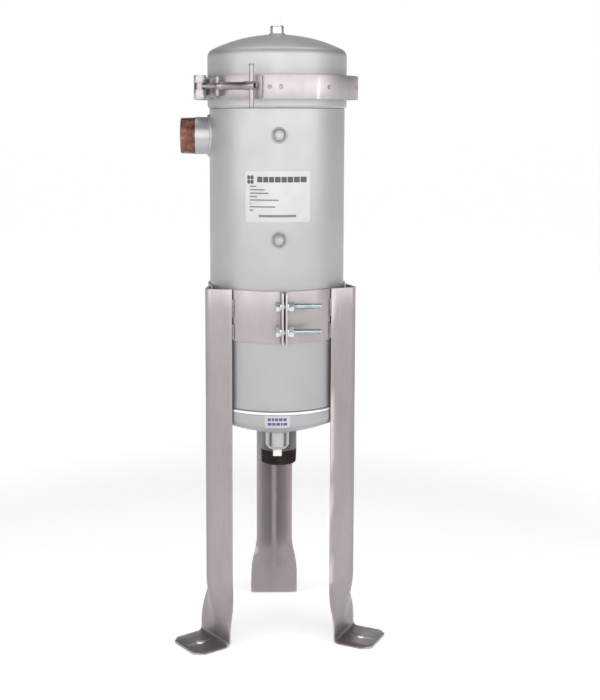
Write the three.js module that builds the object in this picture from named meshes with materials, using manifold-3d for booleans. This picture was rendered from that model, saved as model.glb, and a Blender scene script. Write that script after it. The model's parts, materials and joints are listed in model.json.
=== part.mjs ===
// Compressed air filter: a painted pressure vessel with a band-clamped lid, standing in a
// clamped three-leg stand. Millimetres, +Z up. The vessel's axis is the Z axis while the
// pieces are made, and the finished assembly is moved so that its origin is the middle of
// its footprint at floor level.
//
// Angles called azimuth are measured round the vessel from its front (-Y) towards +X.
// A group turned by an azimuth has its local +X along the tangent and its local -Y outward.
import * as THREE from 'three';
import { mergeVertices } from 'three/addons/utils/BufferGeometryUtils.js';
import Module from 'manifold-3d';

const wasm = await Module();
wasm.setup();

// ---------------------------------------------------------------- driving dimensions
const GAP = 0.3;                      // clearance between touching pieces
const RING_GAP = 0.7;                 // clearance between faceted rings that lie on each other
const ROUND = 40;                     // facets round a large ring
const MEDIUM_ROUND = 24;              // facets round a pipe or an inner piece
const SMALL_ROUND = 16;               // facets round a fitting
const PAST = 1;                       // how far a cutting tool runs past what it cuts

// Vessel: 8 inch nominal pipe with two pressed heads of one pattern.
const SHELL_RADIUS = 109.55;
const SHELL_WALL = 3.76;
const SHELL_BORE = SHELL_RADIUS - SHELL_WALL;
const HEAD_RADIUS = 112.5;
const HEAD_WALL = 4;
const CROWN_RADIUS = 240;
const KNUCKLE_RADIUS = 13.5;
const LID_TANGENT_Z = 950.5;
const BOTTOM_TANGENT_Z = 374;
const SEAM_Z = 386.2;                 // top edge of the bottom head
const TUBE_SHEET_RIM = 4.6;           // rim height of the tube sheet between head and shell
const SHELL_TOP_Z = 868;
const PARTING_Z = 900;
const COLLAR = { step: 0.5, taper: 3 };  // where the collar starts on the shell

// Pipe fittings.
const PIPE_RADIUS = 30.15;            // 2 inch nominal pipe
const PIPE_BORE = 26.25;
const INLET_Z = 824;
const INLET_END_X = -156;
const INLET_REACH = 2;                // how far the inlet stands inside the shell's bore
const OUTLET = { x: 4, y: 22, bottomZ: 275, inward: 4 };
const PORT = { radius: 11.1, bore: 8.2, proud: 9, inward: 1, depth: 12 };
const PORT_PLUG = { square: 9.5, head: 5, neck: 0.5 };
const VENT_PROUD = 13;
const VENT_PLUG = { square: 11.1, head: 9.5, neck: 0.5 };
const PORT_AZIMUTH = 1;
const PORT_HEIGHTS = { upper: 826.5, lower: 664.5 };
const DRAIN = { x: 1, y: -30, radius: 19.05, bore: 10.7, bottomZ: 313, inward: 3, depth: 14 };
const DRAIN_PLUG = { square: 14.3, head: 11, neck: 2.5 };

// Labels.
const MAIN_LABEL = { azimuth: 0.5, width: 104, bottomZ: 692, topZ: 771 };
const DRAIN_LABEL = { width: 40, bottomZ: 366, topZ: 386 };
const LABEL_THICKNESS = 0.4;

// Tube sheet, with passages round the tie rod.
const SHEET_PROUD = 0.3;              // how far its rim stands out past the bottom head
const SPIGOT_GAP = 0.5;               // clearance of its spigot in the shell's bore
const PASSAGE = { circle: 18, radius: 9 };

// Filter element on its seat, held by a tie rod.
const ELEMENT_RADIUS = 70;
const CORE_RADIUS = 36;
const ELEMENT_BOTTOM_Z = 401.4;
const ELEMENT_TOP_Z = 775;
const CAP_HEIGHT = 12;
const CAP_WALL = 3;
const CAP_LIP = 1.5;
const CAP_ROD_GAP = 1;
const CORE_WALL = 2;
const CORE_WINDOW = { rows: 4, half: 9, halfHeight: 12 };
const PLEATS = 32;
const PLEAT_WALL = 4;                 // media left between a pleat's root and the core
const MEDIA_OUTER = ELEMENT_RADIUS - 2.5;
const MEDIA_INNER = CORE_RADIUS + GAP;
const SEAL = { inner: CORE_RADIUS - 4, outer: CORE_RADIUS + 8, height: 3 };
const SEAT_Z = ELEMENT_BOTTOM_Z - SEAL.height;
const ROD_RADIUS = 5;
const ROD_TOP_Z = 815;
const ROD_HOLE = ROD_RADIUS + 0.4;
const HOLD_DOWN = { plate: 4, washer: 2, nut: 10 };  // thickness of each, bottom to top
const HOLD_DOWN_RADII = { plate: 46, washer: 12, nut: 9 };
const WING = { root: 6, tip: 24, half: 2, low: 4, high: 20 };

// Lid clamp.
const STRAP_RADIUS = 131;
const STRAP_THICKNESS = 2;
const STRAP_BOTTOM_Z = 881.5;
const STRAP_TOP_Z = 918.6;
const FLANGE_RADIUS = 122;
const FLANGE_ROOT = 114;              // radius where the tapered flange meets the collar
const FLANGE_RIM_HALF = 9.5;          // half thickness of the flange pair at its rim
const FLANGE_ROOT_HALF = 14.5;
const FLANGE_FILLET = 1;              // chamfer where the flange meets the collar
const RETAINER_WALL = 3;
const RETAINER_CLEAR = 0.5;
const RETAINER_SPANS = { right: [-37, 78], rear: [82, 198], left: [202, 305] };

// Latch of the clamp: bolt across the split, on a tangent line.
const LATCH_AZIMUTH = -33;
const BOLT_LINE = 143;                // distance of the bolt's line from the vessel axis
const BOLT_Z = 901.5;
const TRUNNION_U = -50.6;             // places along the bolt's line
const SADDLE_U = [-21.5, -16];
const BOLT_END_U = 30.8;
const BAR_U = 44.8;
const NUT_END_U = 51;
const FOLD_END_U = 50;
const EDGE_INSET = 1;                 // how far the latch's pieces stop short of the strap's edges
const LOOP_WALL = 2.4;
const SADDLE_WALL = 2;
const FORK = { halfHeight: 15, slotRoot: 2, clearance: 0.6 };
const BOLT_RADIUS = 4;
const TRUNNION_RADIUS = 7;
const NUT_RADIUS = 6.6;
const BAR_RADIUS = 3.4;
const BAR_LENGTH = 67.4;
const BAR_CENTRE_Z = 900.7;
const BAR_SWELL = { radius: 0.8, chamfer: 0.6, length: 2.4 };

// Stand.
const BAND_BORE = 110;
const BAND_THICKNESS = 3;
const BAND_BOTTOM_Z = 501.5;
const BAND_TOP_Z = 584;
const SPLIT_AZIMUTH = 4.5;
const LUG_HALF_GAP = 1.5;
const LUG_REACH = 135;
const LUG_BLEND = { size: 3, waist: 0.9 };
const STAND_BOLT = { line: 125, radius: 4.76, tail: 57.7, head: 6.4, flats: 14.3, nut: 8.3 };
const STAND_WASHER = { radius: 8.7, thickness: 2.2 };
const STAND_BOLT_HEIGHTS = { upper: 562.5, lower: 522.3 };
const LEG_AZIMUTHS = { left: -54, right: 63.5, rear: 181 };
const LEG = { width: 82, thickness: 4, apex: 137.3, fold: Math.PI / 4, bend: 8 };
const FOOT = { radius: 124, tip: 186, hole: 155.4, holeRadius: 7, chamfer: 13, flatZ: 20, foldedZ: 112 };
const FOOT_BEND = 8;

// ---------------------------------------------------------------- materials
const FINISHES = {
  paint: { color: 0xbfc0c4, roughness: 0.45, metalness: 0.25 },
  stainless: { color: 0xaaa09f, roughness: 0.45, metalness: 0.8 },
  polished: { color: 0xcfc8c6, roughness: 0.22, metalness: 1 },
  zinc: { color: 0xc9d2d4, roughness: 0.25, metalness: 1 },
  plug: { color: 0xe4e0d6, roughness: 0.3, metalness: 0.9 },
  bare_pipe: { color: 0x8a6650, roughness: 0.5, metalness: 0.6 },
  dark_pipe: { color: 0x4a3f3a, roughness: 0.55, metalness: 0.5 },
  label: { color: 0xf2f2f2, roughness: 0.5, metalness: 0 },
  rubber: { color: 0x1c1c1e, roughness: 0.8, metalness: 0 },
  media: { color: 0xe6e2d2, roughness: 0.95, metalness: 0 },
  core: { color: 0xb8bcc0, roughness: 0.4, metalness: 0.9 },
};

// ---------------------------------------------------------------- geometry helpers
const radians = THREE.MathUtils.degToRad;

// One indexed closed surface: shared corners merged and collapsed triangles dropped.
function closed(geometry) {
  const bare = new THREE.BufferGeometry();
  bare.setAttribute('position', geometry.getAttribute('position'));
  if (geometry.index) bare.setIndex(geometry.index);
  const merged = mergeVertices(bare, 1e-4);
  const corners = merged.index.array;
  const kept = [];
  for (let i = 0; i < corners.length; i += 3) {
    const [a, b, c] = [corners[i], corners[i + 1], corners[i + 2]];
    if (a !== b && b !== c && c !== a) kept.push(a, b, c);
  }
  merged.setIndex(kept);
  merged.computeVertexNormals();
  return merged;
}

function toSolid(geometry) {
  const surface = closed(geometry);
  return new wasm.Manifold(new wasm.Mesh({
    numProp: 3,
    vertProperties: Float32Array.from(surface.getAttribute('position').array),
    triVerts: Uint32Array.from(surface.index.array),
  }));
}

function toGeometry(solid) {
  const mesh = solid.getMesh();
  const geometry = new THREE.BufferGeometry();
  geometry.setAttribute('position', new THREE.BufferAttribute(mesh.vertProperties, 3));
  geometry.setIndex(new THREE.BufferAttribute(mesh.triVerts, 1));
  return geometry;
}

function cut(base, ...tools) {
  let solid = toSolid(base);
  for (const tool of tools) solid = solid.subtract(toSolid(tool));
  return toGeometry(solid);
}

function join(base, ...others) {
  let solid = toSolid(base);
  for (const other of others) solid = solid.add(toSolid(other));
  return toGeometry(solid);
}

function common(base, other) {
  return toGeometry(toSolid(base).intersect(toSolid(other)));
}

// A solid of revolution about Z from [radius, z] points listed anticlockwise. A ring's
// profile closes on itself; a profile that reaches the axis starts and ends there.
function revolve(points, facets = ROUND) {
  const reachesAxis = points[0][0] === 0;
  const loop = reachesAxis ? points : [...points, points[0]];
  const profile = loop.map(([radius, z]) => new THREE.Vector2(radius, z));
  return new THREE.LatheGeometry(profile, facets).rotateX(Math.PI / 2);
}

function rod(radius, bottomZ, topZ, facets = SMALL_ROUND) {
  const geometry = new THREE.CylinderGeometry(radius, radius, topZ - bottomZ, facets);
  return geometry.rotateX(Math.PI / 2).translate(0, 0, (bottomZ + topZ) / 2);
}

// A cylinder along X, and one along Y, between two places.
function rodAlongX(radius, fromX, toX, y, z, facets = SMALL_ROUND) {
  return rod(radius, fromX, toX, facets).rotateY(Math.PI / 2).translate(0, y, z);
}

function rodAlongY(radius, fromY, toY, x, z, facets = SMALL_ROUND) {
  return rod(radius, -toY, -fromY, facets).rotateX(Math.PI / 2).translate(x, 0, z);
}

function block(x, y, z) {
  const geometry = new THREE.BoxGeometry(x[1] - x[0], y[1] - y[0], z[1] - z[0]);
  return geometry.translate((x[0] + x[1]) / 2, (y[0] + y[1]) / 2, (z[0] + z[1]) / 2);
}

function prism(points, bottomZ, topZ) {
  const outline = new THREE.Shape(points.map(([x, y]) => new THREE.Vector2(x, y)));
  const geometry = new THREE.ExtrudeGeometry(outline, {
    depth: topZ - bottomZ,
    bevelEnabled: false,
  });
  return geometry.translate(0, 0, bottomZ);
}

function at(radius, azimuth) {
  return [radius * Math.sin(radians(azimuth)), -radius * Math.cos(radians(azimuth))];
}

function arc(radius, fromAzimuth, toAzimuth, steps) {
  const points = [];
  for (let i = 0; i <= steps; i += 1) {
    points.push(at(radius, fromAzimuth + ((toAzimuth - fromAzimuth) * i) / steps));
  }
  return points;
}

// Part of a ring between two azimuths, as an upright prism.
function sector(innerRadius, outerRadius, fromAzimuth, toAzimuth, bottomZ, topZ) {
  const steps = Math.max(3, Math.ceil(((toAzimuth - fromAzimuth) / 360) * ROUND));
  const outer = arc(outerRadius, fromAzimuth, toAzimuth, steps);
  const inner = arc(innerRadius, toAzimuth, fromAzimuth, steps);
  return prism([...outer, ...inner], bottomZ, topZ);
}

// A pie slice that reaches past every ring, used to keep or remove part of one.
function slice(fromAzimuth, toAzimuth, bottomZ, topZ) {
  const reach = 2 * STRAP_RADIUS;
  const rim = arc(reach, fromAzimuth, toAzimuth, 6);
  return prism([[0, 0], ...rim], bottomZ, topZ);
}

function piece(name, geometry, finish) {
  const mesh = new THREE.Mesh(closed(geometry), new THREE.MeshStandardMaterial(FINISHES[finish]));
  mesh.name = name;
  return mesh;
}

function turned(azimuth, ...pieces) {
  const group = new THREE.Group();
  group.rotation.z = radians(azimuth);
  group.add(...pieces);
  return group;
}

// ---------------------------------------------------------------- pressed heads
// Half profile of a torispherical head, from its straight rim in to the axis, as heights
// above the tangent line. The same pressing closes the bottom, turned over.
function dishArc(inset) {
  const knuckle = KNUCKLE_RADIUS - inset;
  const crown = CROWN_RADIUS - inset;
  const knuckleCentre = HEAD_RADIUS - KNUCKLE_RADIUS;
  const crownAngle = Math.asin(knuckleCentre / (CROWN_RADIUS - KNUCKLE_RADIUS));
  const crownDrop = (CROWN_RADIUS - KNUCKLE_RADIUS) * Math.cos(crownAngle);
  const points = [];
  const knuckleSteps = 3;
  for (let i = 0; i <= knuckleSteps; i += 1) {
    const angle = ((Math.PI / 2 - crownAngle) * i) / knuckleSteps;
    points.push([knuckleCentre + knuckle * Math.cos(angle), knuckle * Math.sin(angle)]);
  }
  const crownSteps = 3;
  for (let i = 1; i <= crownSteps; i += 1) {
    const angle = crownAngle * (1 - i / crownSteps);
    const radius = i === crownSteps ? 0 : crown * Math.sin(angle);
    points.push([radius, crown * Math.cos(angle) - crownDrop]);
  }
  return points;
}

const HEAD_RISE = dishArc(0).at(-1)[1];

function lid() {
  const outside = dishArc(0).map(([r, h]) => [r, LID_TANGENT_Z + h]);
  const inside = dishArc(HEAD_WALL).map(([r, h]) => [r, LID_TANGENT_Z + h]).reverse();
  const profile = [
    ...inside,
    [HEAD_RADIUS - HEAD_WALL, PARTING_Z + GAP],
    [FLANGE_RADIUS, PARTING_Z + GAP],
    [FLANGE_RADIUS, PARTING_Z + FLANGE_RIM_HALF],
    [FLANGE_ROOT, PARTING_Z + FLANGE_ROOT_HALF],
    [HEAD_RADIUS, PARTING_Z + FLANGE_ROOT_HALF + FLANGE_FILLET],
    ...outside,
  ];
  const ventHole = rod(PORT.radius + GAP, LID_TANGENT_Z, LID_TANGENT_Z + 2 * HEAD_RISE);
  return piece('lid', cut(revolve(profile), ventHole), 'paint');
}

function bottomHead() {
  const outside = dishArc(0).map(([r, h]) => [r, BOTTOM_TANGENT_Z - h]).reverse();
  const inside = dishArc(HEAD_WALL).map(([r, h]) => [r, BOTTOM_TANGENT_Z - h]);
  const profile = [
    ...outside,
    [HEAD_RADIUS, SEAM_Z],
    [HEAD_RADIUS - HEAD_WALL, SEAM_Z],
    ...inside,
  ];
  const headBottom = BOTTOM_TANGENT_Z - 2 * HEAD_RISE;
  const outletHole = rod(PIPE_RADIUS + GAP, headBottom, BOTTOM_TANGENT_Z, MEDIUM_ROUND)
    .translate(OUTLET.x, OUTLET.y, 0);
  const drainHole = rod(DRAIN.radius + GAP, headBottom, BOTTOM_TANGENT_Z, SMALL_ROUND)
    .translate(DRAIN.x, DRAIN.y, 0);
  return piece('bottom_head', cut(revolve(profile), outletHole, drainHole), 'paint');
}

// ---------------------------------------------------------------- vessel
function shell() {
  const bottomZ = SEAM_Z + TUBE_SHEET_RIM + 2 * GAP;
  const tube = revolve([
    [SHELL_BORE, bottomZ],
    [SHELL_RADIUS, bottomZ],
    [SHELL_RADIUS, SHELL_TOP_Z],
    [SHELL_BORE, SHELL_TOP_Z],
  ]);
  const inletHole = rodAlongX(PIPE_RADIUS + GAP, -2 * SHELL_RADIUS, 0, 0, INLET_Z, MEDIUM_ROUND);
  const portHoles = Object.values(PORT_HEIGHTS).map((z) => (
    rodAlongY(PORT.radius + GAP, -2 * SHELL_RADIUS, 0, 0, z).rotateZ(radians(PORT_AZIMUTH))
  ));
  return piece('shell', cut(tube, inletHole, ...portHoles), 'paint');
}

// Collar and lower half of the tapered flange pair, with a groove for the seal.
const GROOVE = { inner: 109, outer: 113.4, depth: 3 };

function bodyFlange() {
  const top = PARTING_Z - GAP;
  const collarBottom = SHELL_TOP_Z + GAP;
  return piece('body_flange', revolve([
    [SHELL_BORE, collarBottom],
    [SHELL_RADIUS + COLLAR.step, collarBottom],
    [HEAD_RADIUS, collarBottom + COLLAR.taper],
    [HEAD_RADIUS, PARTING_Z - FLANGE_ROOT_HALF - FLANGE_FILLET],
    [FLANGE_ROOT, PARTING_Z - FLANGE_ROOT_HALF],
    [FLANGE_RADIUS, PARTING_Z - FLANGE_RIM_HALF],
    [FLANGE_RADIUS, top],
    [GROOVE.outer, top],
    [GROOVE.outer, top - GROOVE.depth],
    [GROOVE.inner, top - GROOVE.depth],
    [GROOVE.inner, top],
    [SHELL_BORE, top],
  ]), 'paint');
}

function lidGasket() {
  const bottom = PARTING_Z - GROOVE.depth;
  return piece('lid_gasket', revolve([
    [GROOVE.inner + GAP, bottom],
    [GROOVE.outer - GAP, bottom],
    [GROOVE.outer - GAP, PARTING_Z],
    [GROOVE.inner + GAP, PARTING_Z],
  ]), 'rubber');
}

// The tube sheet parts the dirty side from the clean side. Four passages lead down round
// the threaded hub that the tie rod screws into.
function tubeSheet() {
  const bottom = SEAM_Z + GAP;
  const rimTop = bottom + TUBE_SHEET_RIM - GAP;
  const spigot = SHELL_BORE - SPIGOT_GAP;
  const plate = revolve([
    [0, bottom],
    [HEAD_RADIUS + SHEET_PROUD, bottom],
    [HEAD_RADIUS + SHEET_PROUD, rimTop],
    [spigot, rimTop],
    [spigot, SEAT_Z - GAP],
    [0, SEAT_Z - GAP],
  ]);
  const hole = (radius, facets) => rod(radius, bottom - PAST, SEAT_Z + PAST, facets);
  const hubHole = hole(ROD_RADIUS + GAP, SMALL_ROUND);
  const passages = [0, 90, 180, 270].map((turn) => {
    const [x, y] = at(PASSAGE.circle, turn);
    return hole(PASSAGE.radius, 12).translate(x, y, 0);
  });
  return piece('tube_sheet', cut(plate, hubHole, ...passages), 'core');
}

function pipeStub(length) {
  return revolve([
    [PIPE_BORE, 0],
    [PIPE_RADIUS, 0],
    [PIPE_RADIUS, length],
    [PIPE_BORE, length],
  ], MEDIUM_ROUND);
}

function inletPipe() {
  const innerEndX = -(SHELL_BORE - INLET_REACH);
  const geometry = pipeStub(innerEndX - INLET_END_X)
    .rotateY(Math.PI / 2)
    .translate(INLET_END_X, 0, INLET_Z);
  return piece('inlet_pipe', geometry, 'bare_pipe');
}

function outletPipe() {
  const innerEndZ = BOTTOM_TANGENT_Z - HEAD_RISE + HEAD_WALL + OUTLET.inward;
  const geometry = pipeStub(innerEndZ - OUTLET.bottomZ)
    .translate(OUTLET.x, OUTLET.y, OUTLET.bottomZ);
  return piece('outlet_pipe', geometry, 'dark_pipe');
}

// A half coupling along Z with its mouth at the top, and the square-head plug in it.
function coupling(radius, boreRadius, length) {
  return revolve([
    [boreRadius, -length],
    [radius, -length],
    [radius, 0],
    [boreRadius, 0],
  ], SMALL_ROUND);
}

function squarePlug(threadRadius, depth, { square, head, neck }) {
  const thread = rod(threadRadius, -depth, neck);
  const half = square / 2;
  const overlap = 0.5;
  return join(thread, block([-half, half], [-half, half], [neck - overlap, neck + head]));
}

function gaugePort(level) {
  const mouth = SHELL_RADIUS + PORT.proud;
  const z = PORT_HEIGHTS[level];
  const body = coupling(PORT.radius, PORT.bore, mouth - SHELL_BORE + PORT.inward)
    .rotateX(Math.PI / 2)
    .translate(0, -mouth, z);
  const plug = squarePlug(PORT.bore - GAP, PORT.depth, PORT_PLUG)
    .rotateX(Math.PI / 2)
    .translate(0, -mouth, z);
  return turned(
    PORT_AZIMUTH,
    piece(`gauge_coupling_${level}`, body, 'paint'),
    piece(`gauge_plug_${level}`, plug, 'paint'),
  );
}

function ventFitting() {
  const domeTop = LID_TANGENT_Z + HEAD_RISE;
  const mouth = domeTop + VENT_PROUD;
  const body = coupling(PORT.radius, PORT.bore, VENT_PROUD + HEAD_WALL).translate(0, 0, mouth);
  const plug = squarePlug(PORT.bore - GAP, PORT.depth, VENT_PLUG).translate(0, 0, mouth);
  return [piece('vent_coupling', body, 'polished'), piece('vent_plug', plug, 'plug')];
}

function drainFitting() {
  const innerZ = BOTTOM_TANGENT_Z - HEAD_RISE + HEAD_WALL + DRAIN.inward;
  const body = coupling(DRAIN.radius, DRAIN.bore, innerZ - DRAIN.bottomZ)
    .rotateX(Math.PI)
    .translate(DRAIN.x, DRAIN.y, DRAIN.bottomZ);
  const plug = squarePlug(DRAIN.bore - GAP, DRAIN.depth, DRAIN_PLUG)
    .rotateX(Math.PI)
    .translate(DRAIN.x, DRAIN.y, DRAIN.bottomZ);
  return [piece('drain_coupling', body, 'polished'), piece('drain_plug', plug, 'plug')];
}

function mainLabel() {
  const inner = SHELL_RADIUS + RING_GAP;
  const halfAngle = THREE.MathUtils.radToDeg(MAIN_LABEL.width / SHELL_RADIUS) / 2;
  const from = MAIN_LABEL.azimuth - halfAngle;
  const to = MAIN_LABEL.azimuth + halfAngle;
  const { bottomZ, topZ } = MAIN_LABEL;
  const geometry = sector(inner, inner + LABEL_THICKNESS, from, to, bottomZ, topZ);
  return piece('main_label', geometry, 'label');
}

// The drain label starts on the head's straight rim and follows the knuckle below it.
function drainLabel() {
  const knuckleCentre = HEAD_RADIUS - KNUCKLE_RADIUS;
  const lowest = Math.asin((BOTTOM_TANGENT_Z - DRAIN_LABEL.bottomZ) / KNUCKLE_RADIUS);
  const skin = (stand) => [1, 0.5, 0].map((part) => {
    const angle = lowest * part;
    const radius = KNUCKLE_RADIUS + stand;
    return [
      knuckleCentre + radius * Math.cos(angle),
      BOTTOM_TANGENT_Z - radius * Math.sin(angle),
    ];
  });
  const topZ = DRAIN_LABEL.topZ;
  const outer = GAP + LABEL_THICKNESS;
  const ring = revolve([
    ...skin(outer),
    [HEAD_RADIUS + outer, topZ],
    [HEAD_RADIUS + GAP, topZ],
    ...skin(GAP).reverse(),
  ]);
  const half = DRAIN_LABEL.width / 2;
  const front = block([-half, half], [-2 * HEAD_RADIUS, 0], [0, SHELL_TOP_Z]);
  return piece('drain_label', common(ring, front), 'label');
}

// ---------------------------------------------------------------- filter element
// An end cap is a shallow ring-shaped cup that the media sits in.
function endCap(name, baseZ, direction, boreRadius) {
  const lip = baseZ + direction * CAP_HEIGHT;
  const floor = baseZ + direction * CAP_WALL;
  const points = [
    [boreRadius, baseZ],
    [ELEMENT_RADIUS, baseZ],
    [ELEMENT_RADIUS, lip],
    [ELEMENT_RADIUS - CAP_LIP, lip],
    [ELEMENT_RADIUS - CAP_LIP, floor],
    [boreRadius, floor],
  ];
  return piece(name, revolve(direction > 0 ? points : points.reverse(), MEDIUM_ROUND), 'core');
}

function elementMedia() {
  const points = [];
  const pleatDepth = MEDIA_OUTER - MEDIA_INNER - PLEAT_WALL;
  for (let i = 0; i < 2 * PLEATS; i += 1) {
    const radius = MEDIA_OUTER - (i % 2) * pleatDepth;
    points.push(at(radius, (i * 180) / PLEATS));
  }
  const outline = new THREE.Shape(points.map(([x, y]) => new THREE.Vector2(x, y)));
  const bore = arc(MEDIA_INNER, 360, 0, 2 * PLEATS).slice(1);
  outline.holes.push(new THREE.Path(bore.map(([x, y]) => new THREE.Vector2(x, y))));
  const bottom = ELEMENT_BOTTOM_Z + CAP_WALL + GAP;
  const top = ELEMENT_TOP_Z - CAP_WALL - GAP;
  const geometry = new THREE.ExtrudeGeometry(outline, { depth: top - bottom, bevelEnabled: false });
  return piece('element_media', geometry.translate(0, 0, bottom), 'media');
}

function elementCore() {
  const bottom = ELEMENT_BOTTOM_Z + CAP_WALL + GAP;
  const top = ELEMENT_TOP_Z - CAP_WALL - GAP;
  const inner = CORE_RADIUS - CORE_WALL;
  const tube = revolve([
    [inner, bottom],
    [CORE_RADIUS, bottom],
    [CORE_RADIUS, top],
    [inner, top],
  ], MEDIUM_ROUND);
  const { rows, half, halfHeight } = CORE_WINDOW;
  const reach = 2 * CORE_RADIUS;
  const windows = [];
  for (let row = 1; row <= rows; row += 1) {
    const z = bottom + ((top - bottom) * row) / (rows + 1);
    const height = [z - halfHeight, z + halfHeight];
    windows.push(block([-reach, reach], [-half, half], height));
    windows.push(block([-half, half], [-reach, reach], height));
  }
  return piece('element_core', cut(tube, ...windows), 'core');
}

function elementGasket() {
  return piece('element_gasket', revolve([
    [SEAL.inner, SEAT_Z],
    [SEAL.outer, SEAT_Z],
    [SEAL.outer, ELEMENT_BOTTOM_Z - GAP],
    [SEAL.inner, ELEMENT_BOTTOM_Z - GAP],
  ], MEDIUM_ROUND), 'rubber');
}

function tieRod() {
  return piece('tie_rod', rod(ROD_RADIUS, SEAM_Z + 2 * GAP, ROD_TOP_Z, 12), 'zinc');
}

// Plate, washer and wing nut, one on the other.
function holdDown() {
  const plateZ = ELEMENT_TOP_Z + GAP;
  const washerZ = plateZ + HOLD_DOWN.plate + GAP;
  const nutZ = washerZ + HOLD_DOWN.washer + GAP;
  const ring = (kind, bottom) => revolve([
    [ROD_HOLE, bottom],
    [HOLD_DOWN_RADII[kind], bottom],
    [HOLD_DOWN_RADII[kind], bottom + HOLD_DOWN[kind]],
    [ROD_HOLE, bottom + HOLD_DOWN[kind]],
  ], SMALL_ROUND);
  const wing = block(
    [WING.root, WING.tip],
    [-WING.half, WING.half],
    [nutZ + WING.low, nutZ + WING.high],
  );
  const hub = rod(HOLD_DOWN_RADII.nut, nutZ, nutZ + HOLD_DOWN.nut);
  const rodHole = rod(ROD_HOLE, nutZ - PAST, nutZ + WING.high + PAST);
  const wingNut = cut(join(hub, wing, wing.clone().rotateZ(Math.PI)), rodHole);
  return [
    piece('hold_down_plate', ring('plate', plateZ), 'core'),
    piece('hold_down_washer', ring('washer', washerZ), 'zinc'),
    piece('hold_down_nut', wingNut, 'zinc'),
  ];
}

// ---------------------------------------------------------------- lid clamp
// The loop at the strap's end holds the bolt's cross head. The strap leaves its circle
// where the common tangent of the circle and the loop touches it.
const LOOP_INNER = TRUNNION_RADIUS + GAP;
const LOOP_OUTER = LOOP_INNER + LOOP_WALL;
const LOOP_DISTANCE = Math.hypot(TRUNNION_U, BOLT_LINE);
const LOOP_BEARING = THREE.MathUtils.radToDeg(Math.atan2(TRUNNION_U, BOLT_LINE));
const TANGENT_TURN = THREE.MathUtils.radToDeg(
  Math.acos((STRAP_RADIUS - LOOP_OUTER) / LOOP_DISTANCE),
);
const LEAVE_AZIMUTH = LOOP_BEARING - TANGENT_TURN;

// Azimuth, within the latch group, of a place along the bolt's line seen on a radius.
const bearingOf = (u, radius) => THREE.MathUtils.radToDeg(Math.asin(u / radius));

function clampStrap() {
  const inner = STRAP_RADIUS - STRAP_THICKNESS;
  const startAzimuth = bearingOf(SADDLE_U[0], STRAP_RADIUS);
  const hoop = sector(
    inner, STRAP_RADIUS, startAzimuth, 360 + LEAVE_AZIMUTH, STRAP_BOTTOM_Z, STRAP_TOP_Z,
  );
  const armRoot = at(STRAP_RADIUS, LEAVE_AZIMUTH);
  const armTip = [
    TRUNNION_U + at(LOOP_OUTER, LEAVE_AZIMUTH)[0],
    -BOLT_LINE + at(LOOP_OUTER, LEAVE_AZIMUTH)[1],
  ];
  const inward = at(-STRAP_THICKNESS, LEAVE_AZIMUTH);
  const arm = prism([
    armRoot,
    [armRoot[0] + inward[0], armRoot[1] + inward[1]],
    [armTip[0] + inward[0], armTip[1] + inward[1]],
    armTip,
  ].reverse(), STRAP_BOTTOM_Z, STRAP_TOP_Z);
  const loop = rod(LOOP_OUTER, STRAP_BOTTOM_Z, STRAP_TOP_Z, 24).translate(TRUNNION_U, -BOLT_LINE, 0);
  const bore = rod(LOOP_INNER, STRAP_BOTTOM_Z - PAST, STRAP_TOP_Z + PAST, 24)
    .translate(TRUNNION_U, -BOLT_LINE, 0);
  const slotHalf = BOLT_RADIUS + 2 * FORK.clearance;
  const swingSlot = block(
    [TRUNNION_U - slotHalf, TRUNNION_U + 2 * LOOP_OUTER],
    [-BOLT_LINE - 2 * LOOP_OUTER, -BOLT_LINE + slotHalf],
    [BOLT_Z - slotHalf, BOLT_Z + slotHalf],
  );
  return piece('clamp_strap', cut(join(hoop, arm, loop), bore, swingSlot), 'stainless');
}

function clampRetainer(side) {
  const [from, to] = RETAINER_SPANS[side];
  const rise = FLANGE_ROOT_HALF - FLANGE_RIM_HALF;
  const run = FLANGE_RADIUS - FLANGE_ROOT;
  const clear = RETAINER_CLEAR;
  const web = STRAP_RADIUS - STRAP_THICKNESS - RING_GAP;
  const half = (height) => [
    [FLANGE_ROOT + clear, FLANGE_ROOT_HALF + clear + height],
    [FLANGE_RADIUS + clear, FLANGE_RIM_HALF + clear + height - (rise * clear) / run],
  ];
  const [lipIn, cornerIn] = half(0);
  const [lipOut, cornerOut] = half(RETAINER_WALL);
  const above = ([radius, height]) => [radius, PARTING_Z + height];
  const below = ([radius, height]) => [radius, PARTING_Z - height];
  const webTop = [web, cornerOut[1]];
  const ring = revolve([
    below(lipOut),
    below(webTop),
    above(webTop),
    above(lipOut),
    above(lipIn),
    above(cornerIn),
    below(cornerIn),
    below(lipIn),
  ]);
  const span = slice(from, to, STRAP_BOTTOM_Z - PAST, STRAP_TOP_Z + PAST);
  return piece(`clamp_retainer_${side}`, common(ring, span), 'stainless');
}

// The bolt: a cross head that turns in the loop, and a threaded rod.
function clampBolt() {
  const head = rod(TRUNNION_RADIUS, STRAP_BOTTOM_Z + EDGE_INSET, STRAP_TOP_Z - EDGE_INSET, 20)
    .translate(TRUNNION_U, -BOLT_LINE, 0);
  const shank = rodAlongX(BOLT_RADIUS, TRUNNION_U, BOLT_END_U, -BOLT_LINE, BOLT_Z);
  return piece('clamp_bolt', join(head, shank), 'polished');
}

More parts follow.
